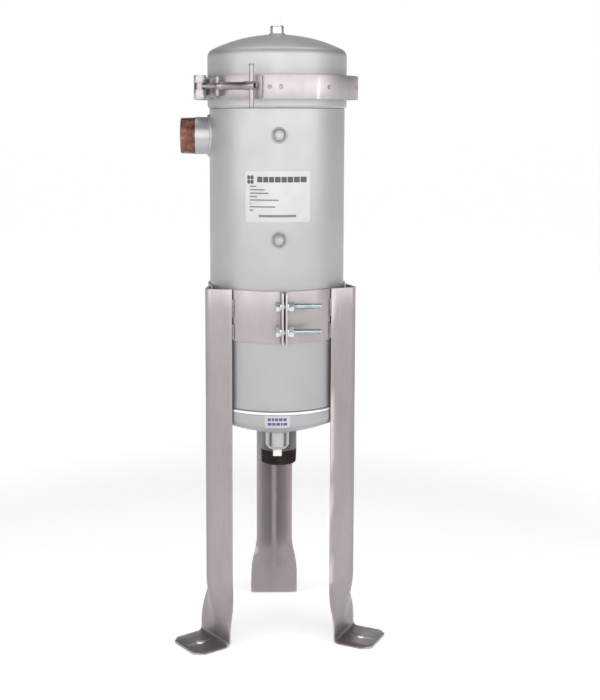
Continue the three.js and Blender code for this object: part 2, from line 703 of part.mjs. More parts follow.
// The saddle is welded to the strap. Its fork stands out only as far as the bolt's line,
// so that the bolt can swing out of it.
function clampSaddle() {
  const inner = STRAP_RADIUS + RING_GAP;
  const outer = inner + SADDLE_WALL;
  const from = bearingOf(SADDLE_U[0], inner);
  const to = bearingOf(FOLD_END_U, inner);
  const plate = sector(
    inner, outer, from, to, STRAP_BOTTOM_Z + EDGE_INSET, STRAP_TOP_Z - EDGE_INSET,
  );
  const fork = block(
    SADDLE_U,
    [-BOLT_LINE, -(inner - SADDLE_WALL)],
    [BOLT_Z - FORK.halfHeight, BOLT_Z + FORK.halfHeight],
  );
  const ringBore = rod(inner, STRAP_BOTTOM_Z, STRAP_TOP_Z, ROUND * 2);
  const slotHalf = BOLT_RADIUS + FORK.clearance;
  const slot = block(
    [SADDLE_U[0] - PAST, SADDLE_U[1] + PAST],
    [-2 * BOLT_LINE, -(outer + FORK.slotRoot)],
    [BOLT_Z - slotHalf, BOLT_Z + slotHalf],
  );
  return piece('clamp_saddle', cut(join(plate, cut(fork, ringBore)), slot), 'polished');
}

function clampNut() {
  const from = SADDLE_U[1] + GAP;
  const barrel = rodAlongX(NUT_RADIUS, from, NUT_END_U, -BOLT_LINE, BOLT_Z, 24);
  const bore = rodAlongX(BOLT_RADIUS + GAP, from - PAST, NUT_END_U + PAST, -BOLT_LINE, BOLT_Z);
  const reach = 2 * NUT_RADIUS;
  const crossHole = rod(BAR_RADIUS + GAP, BOLT_Z - reach, BOLT_Z + reach)
    .translate(BAR_U, -BOLT_LINE, 0);
  return piece('clamp_nut', cut(barrel, bore, crossHole), 'polished');
}

// The sliding bar, with swaged ends that stop it falling out.
function clampBar() {
  const half = BAR_LENGTH / 2;
  const end = BAR_RADIUS + BAR_SWELL.radius;
  const face = end - BAR_SWELL.chamfer;
  const shoulder = half - BAR_SWELL.chamfer;
  const neck = half - BAR_SWELL.length;
  const geometry = revolve([
    [0, -half],
    [face, -half],
    [end, -shoulder],
    [BAR_RADIUS, -neck],
    [BAR_RADIUS, neck],
    [end, shoulder],
    [face, half],
    [0, half],
  ], SMALL_ROUND);
  return piece('clamp_bar', geometry.translate(BAR_U, -BOLT_LINE, BAR_CENTRE_Z), 'polished');
}

// ---------------------------------------------------------------- stand
// A split hoop whose ends turn out into two bolted lugs.
function standBand() {
  const outerRadius = BAND_BORE + BAND_THICKNESS;
  const lugFace = LUG_HALF_GAP + BAND_THICKNESS;
  const { size, waist } = LUG_BLEND;
  const boreAngle = bearingOf(LUG_HALF_GAP, BAND_BORE);
  const outerAngle = bearingOf(lugFace + size, outerRadius);
  const bore = arc(BAND_BORE, 360 - boreAngle, boreAngle, ROUND);
  const outer = arc(outerRadius, outerAngle, 360 - outerAngle, ROUND);
  const lug = [
    [LUG_HALF_GAP, -LUG_REACH],
    [lugFace, -LUG_REACH],
    [lugFace, -(outerRadius + size)],
    [lugFace + waist, -(outerRadius + waist)],
  ];
  const otherLug = lug.map(([x, y]) => [-x, y]).reverse();
  const reach = 2 * STAND_BOLT.radius + lugFace;
  const holes = Object.values(STAND_BOLT_HEIGHTS).map((z) => (
    rodAlongX(STAND_BOLT.radius + GAP, -reach, reach, -STAND_BOLT.line, z)
  ));
  const outline = [...bore, ...lug, ...outer, ...otherLug];
  const geometry = cut(prism(outline, BAND_BOTTOM_Z, BAND_TOP_Z), ...holes);
  return piece('stand_band', geometry, 'stainless');
}

function hexAlongX(flats, fromX, toX, y, z) {
  return rodAlongX(flats / Math.sqrt(3), fromX, toX, y, z, 6);
}

function standFasteners(level) {
  const z = STAND_BOLT_HEIGHTS[level];
  const y = -STAND_BOLT.line;
  const lugFace = LUG_HALF_GAP + BAND_THICKNESS;
  const washerIn = lugFace + GAP;
  const washerOut = washerIn + STAND_WASHER.thickness;
  const seat = washerOut + GAP;
  const hole = rodAlongX(STAND_BOLT.radius + GAP, -STAND_BOLT.tail, STAND_BOLT.tail, y, z);
  const washer = (from) => cut(
    rodAlongX(STAND_WASHER.radius, from, from + STAND_WASHER.thickness, y, z),
    hole,
  );
  const bolt = join(
    hexAlongX(STAND_BOLT.flats, -seat - STAND_BOLT.head, -seat, y, z),
    rodAlongX(STAND_BOLT.radius, -seat - PAST, STAND_BOLT.tail, y, z),
  );
  const nut = cut(hexAlongX(STAND_BOLT.flats, seat, seat + STAND_BOLT.nut, y, z), hole);
  return [
    piece(`stand_bolt_${level}`, bolt, 'zinc'),
    piece(`stand_nut_${level}`, nut, 'zinc'),
    piece(`stand_washer_${level}_head`, washer(-washerOut), 'zinc'),
    piece(`stand_washer_${level}_nut`, washer(washerIn), 'zinc'),
  ];
}

// A leg is one plate. Across its width it is folded into a V whose ridge points outward;
// near the floor the V flattens, and the end turns out into a foot. The plate starts as a
// flat box with one row of corners per station, and every corner is moved to its place.
const LEG_ROWS_ACROSS = [-1, -0.2, -0.1, 0, 0.1, 0.2, 1];

// Stations along the middle of the plate: how far out, how high, and which way it faces.
function legStations() {
  const middleZ = LEG.thickness / 2;
  const bendCentre = FOOT.radius + FOOT_BEND;
  const stations = [
    { out: FOOT.tip, z: middleZ, lean: Math.PI / 2 },
    { out: bendCentre, z: middleZ, lean: Math.PI / 2 },
  ];
  for (let i = 1; i <= 3; i += 1) {
    const lean = (Math.PI / 2) * (1 - i / 3);
    stations.push({
      out: bendCentre - FOOT_BEND * Math.cos(lean),
      z: middleZ + FOOT_BEND * (1 - Math.sin(lean)),
      lean,
    });
  }
  const steps = 5;
  for (let i = 0; i <= steps; i += 1) {
    const z = FOOT.flatZ + ((FOOT.foldedZ - FOOT.flatZ) * i) / steps;
    stations.push({ out: FOOT.radius, z, lean: 0 });
  }
  stations.push({ out: FOOT.radius, z: BAND_TOP_Z, lean: 0 });
  return stations;
}

// Distance that the rounded fold has turned inward, and across, at a place on the width.
function foldOffset(across, fold) {
  const reach = Math.abs(across) * (LEG.width / 2);
  const curved = Math.min(reach, LEG.bend);
  const straight = reach - curved;
  const turn = (fold * curved) / LEG.bend;
  const radius = fold > 1e-6 ? LEG.bend / fold : Infinity;
  const inward = fold > 1e-6 ? radius * (1 - Math.cos(turn)) : 0;
  const aside = fold > 1e-6 ? radius * Math.sin(turn) : curved;
  return {
    inward: inward + straight * Math.sin(fold),
    aside: Math.sign(across) * (aside + straight * Math.cos(fold)),
    turn: Math.sign(across) * turn,
  };
}

function leg(side) {
  const stations = legStations();
  const rows = LEG_ROWS_ACROSS.length - 1;
  const plate = new THREE.BoxGeometry(rows, 2, stations.length - 1, rows, 1, stations.length - 1);
  const corners = plate.getAttribute('position');
  for (let i = 0; i < corners.count; i += 1) {
    const across = LEG_ROWS_ACROSS[Math.round(corners.getX(i) + rows / 2)];
    const face = -corners.getY(i) * (LEG.thickness / 2);
    const station = stations[Math.round(corners.getZ(i) + (stations.length - 1) / 2)];
    const along = (station.z - FOOT.flatZ) / (FOOT.foldedZ - FOOT.flatZ);
    const folded = THREE.MathUtils.smoothstep(along, 0, 1);
    const { inward, aside, turn } = foldOffset(across, LEG.fold * folded);
    const ridge = station.out + (LEG.apex - FOOT.radius) * folded;
    const out = ridge - inward + face * Math.cos(turn) * Math.cos(station.lean);
    const x = aside + face * Math.sin(turn);
    corners.setXYZ(i, x, -out, station.z + face * Math.sin(station.lean));
  }
  const half = LEG.width / 2;
  const toolTop = LEG.thickness + PAST;
  const boltHole = rod(FOOT.holeRadius, -PAST, toolTop).translate(0, -FOOT.hole, 0);
  const clips = [-1, 1].map((end) => prism([
    [end * (half + PAST), -FOOT.tip - PAST],
    [end * (half + PAST), -FOOT.tip + FOOT.chamfer + PAST],
    [end * (half - FOOT.chamfer - PAST), -FOOT.tip - PAST],
  ], -PAST, toolTop));
  return turned(
    LEG_AZIMUTHS[side],
    piece(`leg_${side}`, cut(plate, boltHole, ...clips), 'stainless'),
  );
}

// ---------------------------------------------------------------- assembly
const assembly = new THREE.Group();
assembly.add(
  shell(),
  bodyFlange(),
  bottomHead(),
  tubeSheet(),
  inletPipe(),
  outletPipe(),
  gaugePort('upper'),
  gaugePort('lower'),
  ...drainFitting(),
  mainLabel(),
  drainLabel(),
  endCap('element_lower_cap', ELEMENT_BOTTOM_Z, 1, SEAL.inner),
  endCap('element_upper_cap', ELEMENT_TOP_Z, -1, ROD_RADIUS + CAP_ROD_GAP),
  elementMedia(),
  elementCore(),
  elementGasket(),
  tieRod(),
  ...holdDown(),
  lid(),
  lidGasket(),
  ...ventFitting(),
  ...Object.keys(RETAINER_SPANS).map(clampRetainer),
  turned(
    LATCH_AZIMUTH,
    clampStrap(),
    clampBolt(),
    clampSaddle(),
    clampNut(),
    clampBar(),
  ),
  turned(
    SPLIT_AZIMUTH,
    standBand(),
    ...standFasteners('upper'),
    ...standFasteners('lower'),
  ),
  ...Object.keys(LEG_AZIMUTHS).map(leg),
);

const footprint = new THREE.Box3().setFromObject(assembly, true);
const middle = footprint.getCenter(new THREE.Vector3());
assembly.position.set(-middle.x, -middle.y, 0);

const filter = new THREE.Group();
filter.add(assembly);

export default filter;
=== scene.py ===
"""The looks of the compressed air filter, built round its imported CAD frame. Metres, +Z up.

Shapes are made in millimetres in the vessel's frame (axis on Z), or in that frame turned to the
latch, the ports, the stand's split or a leg, where local +X is the tangent and local -Y points
outward. placed() puts them where the frame says.
"""

import json
from math import acos, asin, atan2, copysign, cos, hypot, pi, radians, sin, sqrt, tan

import bmesh
import bpy
from mathutils import Matrix, Vector, noise


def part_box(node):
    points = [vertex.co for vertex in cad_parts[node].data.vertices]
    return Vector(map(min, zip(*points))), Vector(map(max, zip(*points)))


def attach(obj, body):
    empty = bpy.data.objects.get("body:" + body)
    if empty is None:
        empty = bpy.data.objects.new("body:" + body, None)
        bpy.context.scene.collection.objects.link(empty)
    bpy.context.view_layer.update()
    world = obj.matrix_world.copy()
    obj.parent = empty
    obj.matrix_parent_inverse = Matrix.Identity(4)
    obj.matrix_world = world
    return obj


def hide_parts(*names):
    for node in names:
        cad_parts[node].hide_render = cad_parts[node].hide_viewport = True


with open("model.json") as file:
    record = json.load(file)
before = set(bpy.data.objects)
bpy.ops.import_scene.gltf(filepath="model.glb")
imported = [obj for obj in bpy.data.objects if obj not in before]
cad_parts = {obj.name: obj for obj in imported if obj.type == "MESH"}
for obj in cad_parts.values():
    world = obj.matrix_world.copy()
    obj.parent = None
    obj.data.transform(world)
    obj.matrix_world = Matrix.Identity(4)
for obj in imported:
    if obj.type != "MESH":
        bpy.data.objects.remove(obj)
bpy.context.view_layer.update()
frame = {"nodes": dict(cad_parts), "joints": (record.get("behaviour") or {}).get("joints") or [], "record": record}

MM = 0.001
ROUND = 160           # facets round the vessel
PIPE_ROUND = 72
FITTING_ROUND = 48
TWO_PI = 2 * pi


# ---------- places, read from the frame
def middle(node):
    low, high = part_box(node)
    return (Vector(low) + Vector(high)) / 2


def heights(node):
    """Lowest and highest point of a node, in millimetres."""
    low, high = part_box(node)
    return low[2] / MM, high[2] / MM


def mid_height(node):
    return sum(heights(node)) / 2


def width(node, axis=0):
    low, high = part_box(node)
    return (high[axis] - low[axis]) / MM


AXIS = middle("shell")
AXIS.z = 0


def from_axis(point):
    """A point of the frame as millimetres from the vessel's axis."""
    return (Vector(point) - AXIS) / MM


def azimuth(point):
    """Angle round the vessel from its front (-Y) towards +X."""
    offset = from_axis(point)
    return atan2(offset.x, -offset.y)


def turned(angle):
    return Matrix.Translation(AXIS) @ Matrix.Rotation(angle, 4, "Z") @ Matrix.Scale(MM, 4)


JOINTS = {joint["name"]: joint for joint in frame["joints"]}
MOUNTS = {mount["name"]: mount for mount in frame["record"]["mounts"]}

VESSEL = turned(0)
LATCH_AXIS = Vector(JOINTS["clamp_nut_turn"]["axis"])
LATCH = turned(atan2(LATCH_AXIS.y, LATCH_AXIS.x))
SPLIT_MIDDLE = (middle("stand_washer_upper_head") + middle("stand_washer_upper_nut")) / 2
SPLIT = turned(azimuth(SPLIT_MIDDLE))
PORT = turned(azimuth(middle("gauge_coupling_upper")))

SHELL_RADIUS = width("shell") / 2
SHELL_WALL = 3.76
SHELL_BORE = SHELL_RADIUS - SHELL_WALL
SHELL_BOTTOM, SHELL_TOP = heights("shell")
HEAD_RADIUS = width("bottom_head") / 2
HEAD_WALL = 4
HEAD_BORE = HEAD_RADIUS - HEAD_WALL
CROWN_RADIUS = 240
KNUCKLE_RADIUS = 13.5
FLANGE_RADIUS = width("lid") / 2
FLANGE_ROOT = 114
PARTING = (heights("lid")[0] + heights("body_flange")[1]) / 2
PIPE_RADIUS = width("outlet_pipe") / 2
PIPE_WALL = 3.9
PIPE_BORE = PIPE_RADIUS - PIPE_WALL
INLET_END = from_axis(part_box("inlet_pipe")[0]).x
INLET_HEIGHT = mid_height("inlet_pipe")
OUTLET = from_axis(middle("outlet_pipe"))
DRAIN = from_axis(middle("drain_coupling"))
TRUNNION_U = (LATCH.inverted() @ Vector(JOINTS["clamp_bolt_swing"]["pos_m"])).x
BOLT_LINE = -(LATCH.inverted() @ Vector(JOINTS["clamp_nut_turn"]["pos_m"])).y
BOLT_HEIGHT = JOINTS["clamp_nut_turn"]["pos_m"][2] / MM


# ---------- mesh building
def spaced(start, end, steps):
    """Evenly spaced values from start to end."""
    return [start + (end - start) * i / steps for i in range(steps + 1)]


def around(count):
    """Evenly spaced angles of one turn."""
    return [TWO_PI * i / count for i in range(count)]


def bend(start, corner, end, steps):
    """Points of a smooth bend from start to end, drawn towards the corner between them."""
    return [tuple(start * (1 - t) ** 2 + corner * 2 * t * (1 - t) + end * t ** 2)
            for t in spaced(0, 1, steps)]


def fillet(points, steps=4):
    """A closed outline with round corners. Each point is (x, y) or (x, y, corner radius)."""
    outline = []
    count = len(points)
    for index, point in enumerate(points):
        here = Vector(point[:2])
        radius = point[2] if len(point) > 2 else 0
        before = Vector(points[index - 1][:2]) - here
        after = Vector(points[(index + 1) % count][:2]) - here
        half_angle = before.angle(after) / 2
        if radius <= 0 or half_angle > pi / 2 - 0.02:
            outline.append(tuple(here))
            continue
        reach = min(radius / tan(half_angle), before.length * 0.49, after.length * 0.49)
        start = here + before.normalized() * reach
        outline += bend(start, here, here + after.normalized() * reach, steps)
    return outline


def skin(rows, wrap=False, caps=False):
    """A closed mesh through rings of points. A ring of one point is a pole."""
    mesh = bmesh.new()
    rings = [[mesh.verts.new(point) for point in row] for row in rows]
    pairs = list(zip(rings, rings[1:]))
    if wrap:
        pairs.append((rings[-1], rings[0]))
    for lower, upper in pairs:
        count = max(len(lower), len(upper))
        for i in range(count):
            j = (i + 1) % count
            corners = [lower[i % len(lower)], lower[j % len(lower)],
                       upper[j % len(upper)], upper[i % len(upper)]]
            unique = list(dict.fromkeys(corners))
            if len(unique) > 2:
                mesh.faces.new(unique)
    if caps:
        mesh.faces.new(rings[0])
        mesh.faces.new(rings[-1])
    bmesh.ops.recalc_face_normals(mesh, faces=mesh.faces)
    return mesh


def on_ring(radius, angle):
    return radius * sin(angle), -radius * cos(angle)


def arc(radius, start, end, steps):
    return [on_ring(radius, angle) for angle in spaced(start, end, steps)]


def ring(radius, z, facets):
    return [(*on_ring(radius, angle), z) for angle in around(facets)]


def lathe(profile, facets=ROUND):
    """A solid of revolution about Z. A profile that starts on the axis ends there; any other
    one closes on itself."""
    nearly_axis = 1e-6
    rings = [ring(radius, z, facets) if radius > nearly_axis else [(0, 0, z)]
             for radius, z in profile]
    return skin(rings, wrap=profile[0][0] > nearly_axis)


def extrude(outline, bottom, top):
    """An upright prism over an outline."""
    return skin([[(x, y, z) for x, y in outline] for z in (bottom, top)], caps=True)


def round_edges(mesh, size, steps=2, limit=0.6):
    edges = [e for e in mesh.edges if len(e.link_faces) == 2 and e.calc_face_angle(0) > limit]
    bmesh.ops.bevel(mesh, geom=edges, offset=size, segments=steps, affect="EDGES",
                    profile=0.5, clamp_overlap=True)


def moved(mesh, matrix):
    mesh.transform(matrix)
    return mesh


def shifted(mesh, x, y, z):
    return moved(mesh, Matrix.Translation((x, y, z)))


def along_x(mesh, start=0.0, y=0.0, z=0.0):
    """Lays a mesh made along +Z down along +X."""
    return moved(mesh, Matrix.Translation((start, y, z)) @ Matrix.Rotation(pi / 2, 4, "Y"))


def outward(mesh, distance, z=0.0):
    """Turns a mesh made along +Z to point out of the vessel, along local -Y."""
    return moved(mesh, Matrix.Translation((0, -distance, z)) @ Matrix.Rotation(pi / 2, 4, "X"))


def added(name, data):
    """A new object of the scene."""
    made = bpy.data.objects.new(name, data)
    bpy.context.scene.collection.objects.link(made)
    return made


def data_of(mesh, name="scratch"):
    """A mesh as mesh data; the mesh itself is used up."""
    data = bpy.data.meshes.new(name)
    mesh.to_mesh(data)
    mesh.free()
    return data


def merged(*meshes):
    """Several meshes as one, each left as its own closed shell."""
    whole = meshes[0]
    for other in meshes[1:]:
        scratch = data_of(other)
        whole.from_mesh(scratch)
        bpy.data.meshes.remove(scratch)
    return whole


def boolean(mesh, tools, operation="DIFFERENCE"):
    """Cuts the tools out of a mesh, or joins them to it."""
    base, *others = [added("scratch", data_of(source)) for source in (mesh, *tools)]
    for other in others:
        modifier = base.modifiers.new("cut", "BOOLEAN")
        modifier.operation = operation
        modifier.solver = "EXACT"
        modifier.object = other
    evaluated = base.evaluated_get(bpy.context.evaluated_depsgraph_get())
    result = bmesh.new()
    result.from_mesh(evaluated.to_mesh())
    evaluated.to_mesh_clear()
    for thing in (base, *others):
        data = thing.data
        bpy.data.objects.remove(thing)
        bpy.data.meshes.remove(data)
    return result


def cylinder(radius, bottom, top, facets=FITTING_ROUND):
    return lathe([(0, bottom), (radius, bottom), (radius, top), (0, top)], facets)


def fitting(profile):
    """A small turned part with rounded corners."""
    return lathe(fillet(profile), FITTING_ROUND)


def block(x, y, z):
    outline = [(x[0], y[0]), (x[1], y[0]), (x[1], y[1]), (x[0], y[1])]
    return extrude(outline, z[0], z[1])


def thread_radius(radius, pitch, depth, z, angle):
    """Radius of a helical 60 degree thread at a height and angle."""
    phase = (z / pitch - angle / TWO_PI) % 1
    ridge = 1 - abs(2 * phase - 1)
    return radius - depth * (1 - min(1, max(0, 1.25 * ridge - 0.1)))


def threaded(radius, length, pitch, depth, plain=0.0, facets=28, rows_per_pitch=6, bore=0.0,
             taper=0.0):
    """A rod or pipe along +Z with a thread from its plain part up to its chamfered end."""
    rings = [] if bore else [[(0, 0, 0)]]
    rings.append(ring(radius, 0, facets))
    if plain:
        rings.append(ring(radius, plain, facets))
    count = max(2, round((length - plain) / pitch * rows_per_pitch))
    for row in range(1, count + 1):
        z = plain + (length - plain) * row / count
        narrowed = radius - taper * (z - plain)
        chamfer = narrowed - depth + (length - z) * 1.2
        turn = []
        for angle in around(facets):
            reach = min(thread_radius(narrowed, pitch, depth, z, angle), chamfer)
            turn.append((*on_ring(reach, angle), z))
        rings.append(turn)
    if bore:
        rings += [ring(bore, length, facets), ring(bore, 0, facets)]
    else:
        rings.append([(0, 0, length)])
    return skin(rings, wrap=bool(bore))


def bead(points, radius, closed=True):
    """A weld bead along points, with the soft ripples that the torch leaves."""
    ripple = 2.4
    sides = 12
    hub = sum((Vector(point) for point in points), Vector()) / len(points)
    rings = []
    travelled = 0.0
    count = len(points)
    for index, point in enumerate(points):
        here = Vector(point)
        before = Vector(points[index - 1]) if closed or index else here
        after = Vector(points[(index + 1) % count]) if closed or index < count - 1 else here
        ahead = (after - before).normalized()
        travelled += (here - before).length if index else 0
        side = here - hub if closed else Vector((here.x, here.y, 0))
        side = (side - ahead * side.dot(ahead)).normalized()
        up = side.cross(ahead)
        swell = 1 + 0.045 * sin(TWO_PI * travelled / ripple) + 0.16 * noise.noise(here * 0.13)
        rings.append([here + (side * cos(angle) + up * sin(angle)) * radius * swell
                      for angle in around(sides)])
    if not closed:
        rings = [[points[0]], *rings, [points[-1]]]
    return skin(rings, wrap=closed)


def placed(name, mesh, finish, replaces="", place=VESSEL, body="vessel", sharp=32):
    """Makes the piece's object, with its mesh in the frame's place, and ties it to the frame."""
    material, slot = finish
    data = data_of(moved(mesh, place), name)
    data.materials.append(material)
    data.polygons.foreach_set("use_smooth", [True] * len(data.polygons))
    data.set_sharp_from_angle(angle=radians(sharp))
    piece = added(name, data)
    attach(piece, body)
    if replaces:
        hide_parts(replaces)


# ---------- materials
class Nodes:
    """Short ways to build a node tree."""

    def __init__(self, tree):
        self.tree = tree

    def node(self, kind, **settings):
        made = self.tree.nodes.new(kind)
        for name, value in settings.items():
            setattr(made, name, value)
        return made

    def given(self, kind, **values):
        """A node with some of its inputs set."""
        made = self.node(kind)
        for name, value in values.items():
            made.inputs[name].default_value = value
        return made

    def join(self, start, end):
        self.tree.links.new(start, end)

    def axis(self, vector, name):
        split = self.node("ShaderNodeSeparateXYZ")
        self.join(vector, split.inputs["Vector"])
        return split.outputs[name]

    def spread(self, value, low, high, start=0.3, end=0.7, interpolation="LINEAR"):
        """Maps the range of a value from start to end to low..high."""
        ranged = self.node("ShaderNodeMapRange", interpolation_type=interpolation)
        self.join(value, ranged.inputs["Value"])
        for socket, number in zip(("From Min", "From Max", "To Min", "To Max"),
                                  (start, end, low, high)):
            ranged.inputs[socket].default_value = number
        return ranged.outputs["Result"]


class Surface(Nodes):
    """A principled material whose colour, roughness and bump are built from procedural nodes."""

    def __init__(self, name, roughness, metallic=0.0):
        self.material = bpy.data.materials.new(name)
        self.material.use_nodes = True
        super().__init__(self.material.node_tree)
        self.shader = self.tree.nodes["Principled BSDF"]
        self.shader.inputs["Roughness"].default_value = roughness
        self.shader.inputs["Metallic"].default_value = metallic
        self.place = self.node("ShaderNodeTexCoord").outputs["Object"]

    def noise(self, scale, detail=3.0, stretch=(1, 1, 1), roughness=0.55):
        """Noise of about 1/scale metres, drawn out along an axis by a small stretch."""
        mapping = self.given("ShaderNodeMapping", Scale=stretch)
        texture = self.given("ShaderNodeTexNoise", Scale=scale, Detail=detail, Roughness=roughness)
        self.join(self.place, mapping.inputs["Vector"])
        self.join(mapping.outputs["Vector"], texture.inputs["Vector"])
        return texture.outputs["Fac"]

    def ramp(self, value, *stops):
        """A colour ramp; each stop is (position, colour)."""
        made = self.node("ShaderNodeValToRGB")
        elements = made.color_ramp.elements
        while len(elements) < len(stops):
            elements.new(0.5)
        for element, (position, colour) in zip(elements, stops):
            element.position = position
            element.color = (*colour, 1)
        self.join(value, made.inputs["Fac"])
        return made.outputs["Color"]

    def mix(self, factor, first, second, blend="MIX"):
        made = self.node("ShaderNodeMix", data_type="RGBA", blend_type=blend)
        sockets = (made.inputs[0], made.inputs[6], made.inputs[7])
        for socket, value in zip(sockets, (factor, first, second)):
            if isinstance(value, bpy.types.NodeSocket):
                self.join(value, socket)
            elif isinstance(value, tuple):
                socket.default_value = (*value, 1)
            else:
                socket.default_value = value
        return made.outputs[2]

    def edges(self, low=0.52, high=0.6):
        """1 on outside edges, 0 elsewhere."""
        geometry = self.node("ShaderNodeNewGeometry")
        return self.spread(geometry.outputs["Pointiness"], 0, 1, low, high)

    def colour(self, socket):
        self.join(socket, self.shader.inputs["Base Color"])

    def roughness(self, socket):
        self.join(socket, self.shader.inputs["Roughness"])

    def bump(self, value, strength, distance):
        made = self.given("ShaderNodeBump", Strength=strength, Distance=distance)
        self.join(value, made.inputs["Height"])
        self.join(made.outputs["Normal"], self.shader.inputs["Normal"])

    def mottle(self, scale, detail, *stops):
        """Colour that wanders through a ramp's stops."""
        self.colour(self.ramp(self.noise(scale, detail), *stops))

    def wear(self, scale, detail, low, high):
        """Roughness that wanders between low and high."""
        self.roughness(self.spread(self.noise(scale, detail), low, high))

    def grain(self, scale, detail, strength, distance):
        """Fine relief."""
        self.bump(self.noise(scale, detail), strength, distance)

    def beyond(self, axis, limit, wander):
        """0 up to a limit along an axis and 1 past it, with a ragged edge about wander wide."""
        ragged = self.node("ShaderNodeMath", operation="MULTIPLY_ADD")
        self.join(self.noise(240, 4), ragged.inputs[0])
        ragged.inputs[1].default_value = wander
        self.join(self.axis(self.place, axis), ragged.inputs[2])
        return self.spread(ragged.outputs[0], 0, 1, limit + wander / 3, limit + wander * 2 / 3)


def silver_paint():
    """Satin silver-grey enamel: faint orange peel, fine flake, and a few duller patches."""
    made = Surface("silver_paint", 0.46, 0.6)
    base = made.ramp(made.noise(9, 4), (0.3, (0.40, 0.40, 0.415)), (0.7, (0.44, 0.44, 0.45)))
    fleck = made.ramp(made.noise(2600, 1), (0.35, (0.93, 0.93, 0.94)), (0.65, (1, 1, 1)))
    made.colour(made.mix(1.0, base, fleck, "MULTIPLY"))
    made.wear(22, 5, 0.43, 0.53)
    made.grain(420, 2, 0.12, 0.0004)
    return made.material


def stainless_plate():
    """Mill-finish stainless: warm grey, rolled grain up the plate, faint stains, bright edges."""
    made = Surface("stainless_plate", 0.42, 0.85)
    rolled = made.noise(900, 3, (1, 1, 0.03))
    stain = made.noise(7, 5, (1, 1, 0.5), 0.62)
    base = made.ramp(stain, (0.28, (0.33, 0.295, 0.297)), (0.55, (0.38, 0.34, 0.345)),
                     (0.8, (0.43, 0.395, 0.39)))
    lines = made.ramp(rolled, (0.3, (0.9, 0.9, 0.9)), (0.7, (1, 1, 1)))
    made.colour(made.mix(made.edges(), made.mix(1.0, base, lines, "MULTIPLY"), (0.60, 0.56, 0.56)))
    made.roughness(made.spread(made.noise(60, 4, (1, 1, 0.2)), 0.36, 0.5))
    made.bump(rolled, 0.1, 0.0002)
    return made.material


def polished_steel(name, tone, roughness):
    """Machined bright steel, with fine tool marks and soft handling marks, darkened in its hollows as painted
    shade.
    """
    made = Surface(name, roughness, 1.0)
    base = made.ramp(made.noise(60, 3), (0.3, tuple(0.9 * part for part in tone)), (0.7, tone))
    # painted shade: concave hollows take a darker copy of the tone
    made.colour(made.mix(made.edges(0.49, 0.42), base, tuple(0.45 * part for part in tone)))
    made.wear(90, 3, roughness * 0.9, roughness * 1.15)
    made.grain(1800, 2, 0.06, 0.0001)
    return made.material


def bright_zinc():
    """Zinc plate: cool, bright, with a faint blue and yellow passivation cast."""
    made = Surface("bright_zinc", 0.2, 1.0)
    made.mottle(90, 3, (0.25, (0.50, 0.57, 0.60)), (0.5, (0.62, 0.67, 0.68)),
                (0.78, (0.66, 0.66, 0.62)))
    made.wear(500, 4, 0.16, 0.3)
    made.grain(1500, 2, 0.06, 0.0001)
    return made.material


def inlet_finish():
    """The stub is painted with the shell up to its thread, which is bare and tarnished brown."""
    made = Surface("inlet_pipe_finish", 0.4)
    painted = made.beyond("X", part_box("inlet_pipe")[0][0] + THREAD_LENGTH * MM, 0.0024)
    tarnish = made.ramp(made.noise(75, 5), (0.28, (0.22, 0.12, 0.09)), (0.5, (0.42, 0.26, 0.20)),
                        (0.72, (0.56, 0.41, 0.34)))
    made.colour(made.mix(painted, tarnish, (0.42, 0.42, 0.435)))
    made.join(made.spread(painted, 0.92, 0.6, 0, 1), made.shader.inputs["Metallic"])
    made.wear(160, 4, 0.3, 0.46)
    made.grain(600, 3, 0.15, 0.0002)
    return made.material


def dark_pipe_painted_shade():
    """Pipe whose paint is a dark grey that stands for the shadow under the vessel, as painted shade; its thread,
    at the bottom, is bare and near black.
    """
    made = Surface("dark_pipe_painted_shade", 0.4, 0.4)
    above = made.beyond("Z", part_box("outlet_pipe")[0][2] + THREAD_LENGTH * MM, 0.003)
    scale = made.noise(60, 6)
    black_thread = made.ramp(scale, (0.3, (0.05, 0.036, 0.036)), (0.7, (0.10, 0.078, 0.078)))
    # painted shade: the paint above the thread is darkened to stand for the shadow under the vessel
    painted_shade_grey = made.ramp(scale, (0.3, (0.15, 0.15, 0.148)), (0.7, (0.185, 0.185, 0.185)))
    made.colour(made.mix(above, black_thread, painted_shade_grey))
    made.wear(130, 4, 0.32, 0.52)
    made.grain(700, 3, 0.15, 0.0002)
    return made.material


def label_stock():
    """White vinyl, a little yellowed and scuffed."""
    made = Surface("label_stock", 0.38)
    made.mottle(35, 5, (0.3, (0.47, 0.47, 0.475)), (0.7, (0.52, 0.52, 0.525)))
    made.wear(200, 3, 0.32, 0.46)
    made.grain(900, 2, 0.05, 0.0001)
    return made.material


def ink(name, tone):
    """Printed ink, thin enough for the stock to show at its specks."""
    made = Surface(name, 0.45)
    made.mottle(1100, 3, (0.35, tone), (0.8, tuple(0.06 + 0.9 * part for part in tone)))
    made.wear(500, 2, 0.4, 0.52)
    return made.material


def nitrile():
    made = Surface("nitrile", 0.6)
    made.mottle(120, 4, (0.3, (0.012, 0.012, 0.013)), (0.7, (0.03, 0.03, 0.032)))
    made.grain(900, 3, 0.2, 0.0002)
    return made.material


def filter_paper():
    """Resin-treated cellulose: cream, fibrous and matt."""
    made = Surface("filter_paper", 0.9)
    fibres = made.noise(700, 5, (1, 1, 0.25))
    made.colour(made.ramp(fibres, (0.3, (0.62, 0.58, 0.46)), (0.7, (0.78, 0.75, 0.64))))
    made.bump(fibres, 0.3, 0.0003)
    return made.material


def galvanised():
    """Spangled zinc-coated sheet for the element's caps and core."""
    made = Surface("galvanised", 0.35, 0.9)
    cells = made.given("ShaderNodeTexVoronoi", Scale=130)
    made.join(made.place, cells.inputs["Vector"])
    spangle = cells.outputs["Distance"]
    made.colour(made.ramp(spangle, (0.1, (0.48, 0.50, 0.52)), (0.6, (0.66, 0.68, 0.70))))
    made.roughness(made.spread(spangle, 0.28, 0.45, 0.0, 0.7))
    return made.material


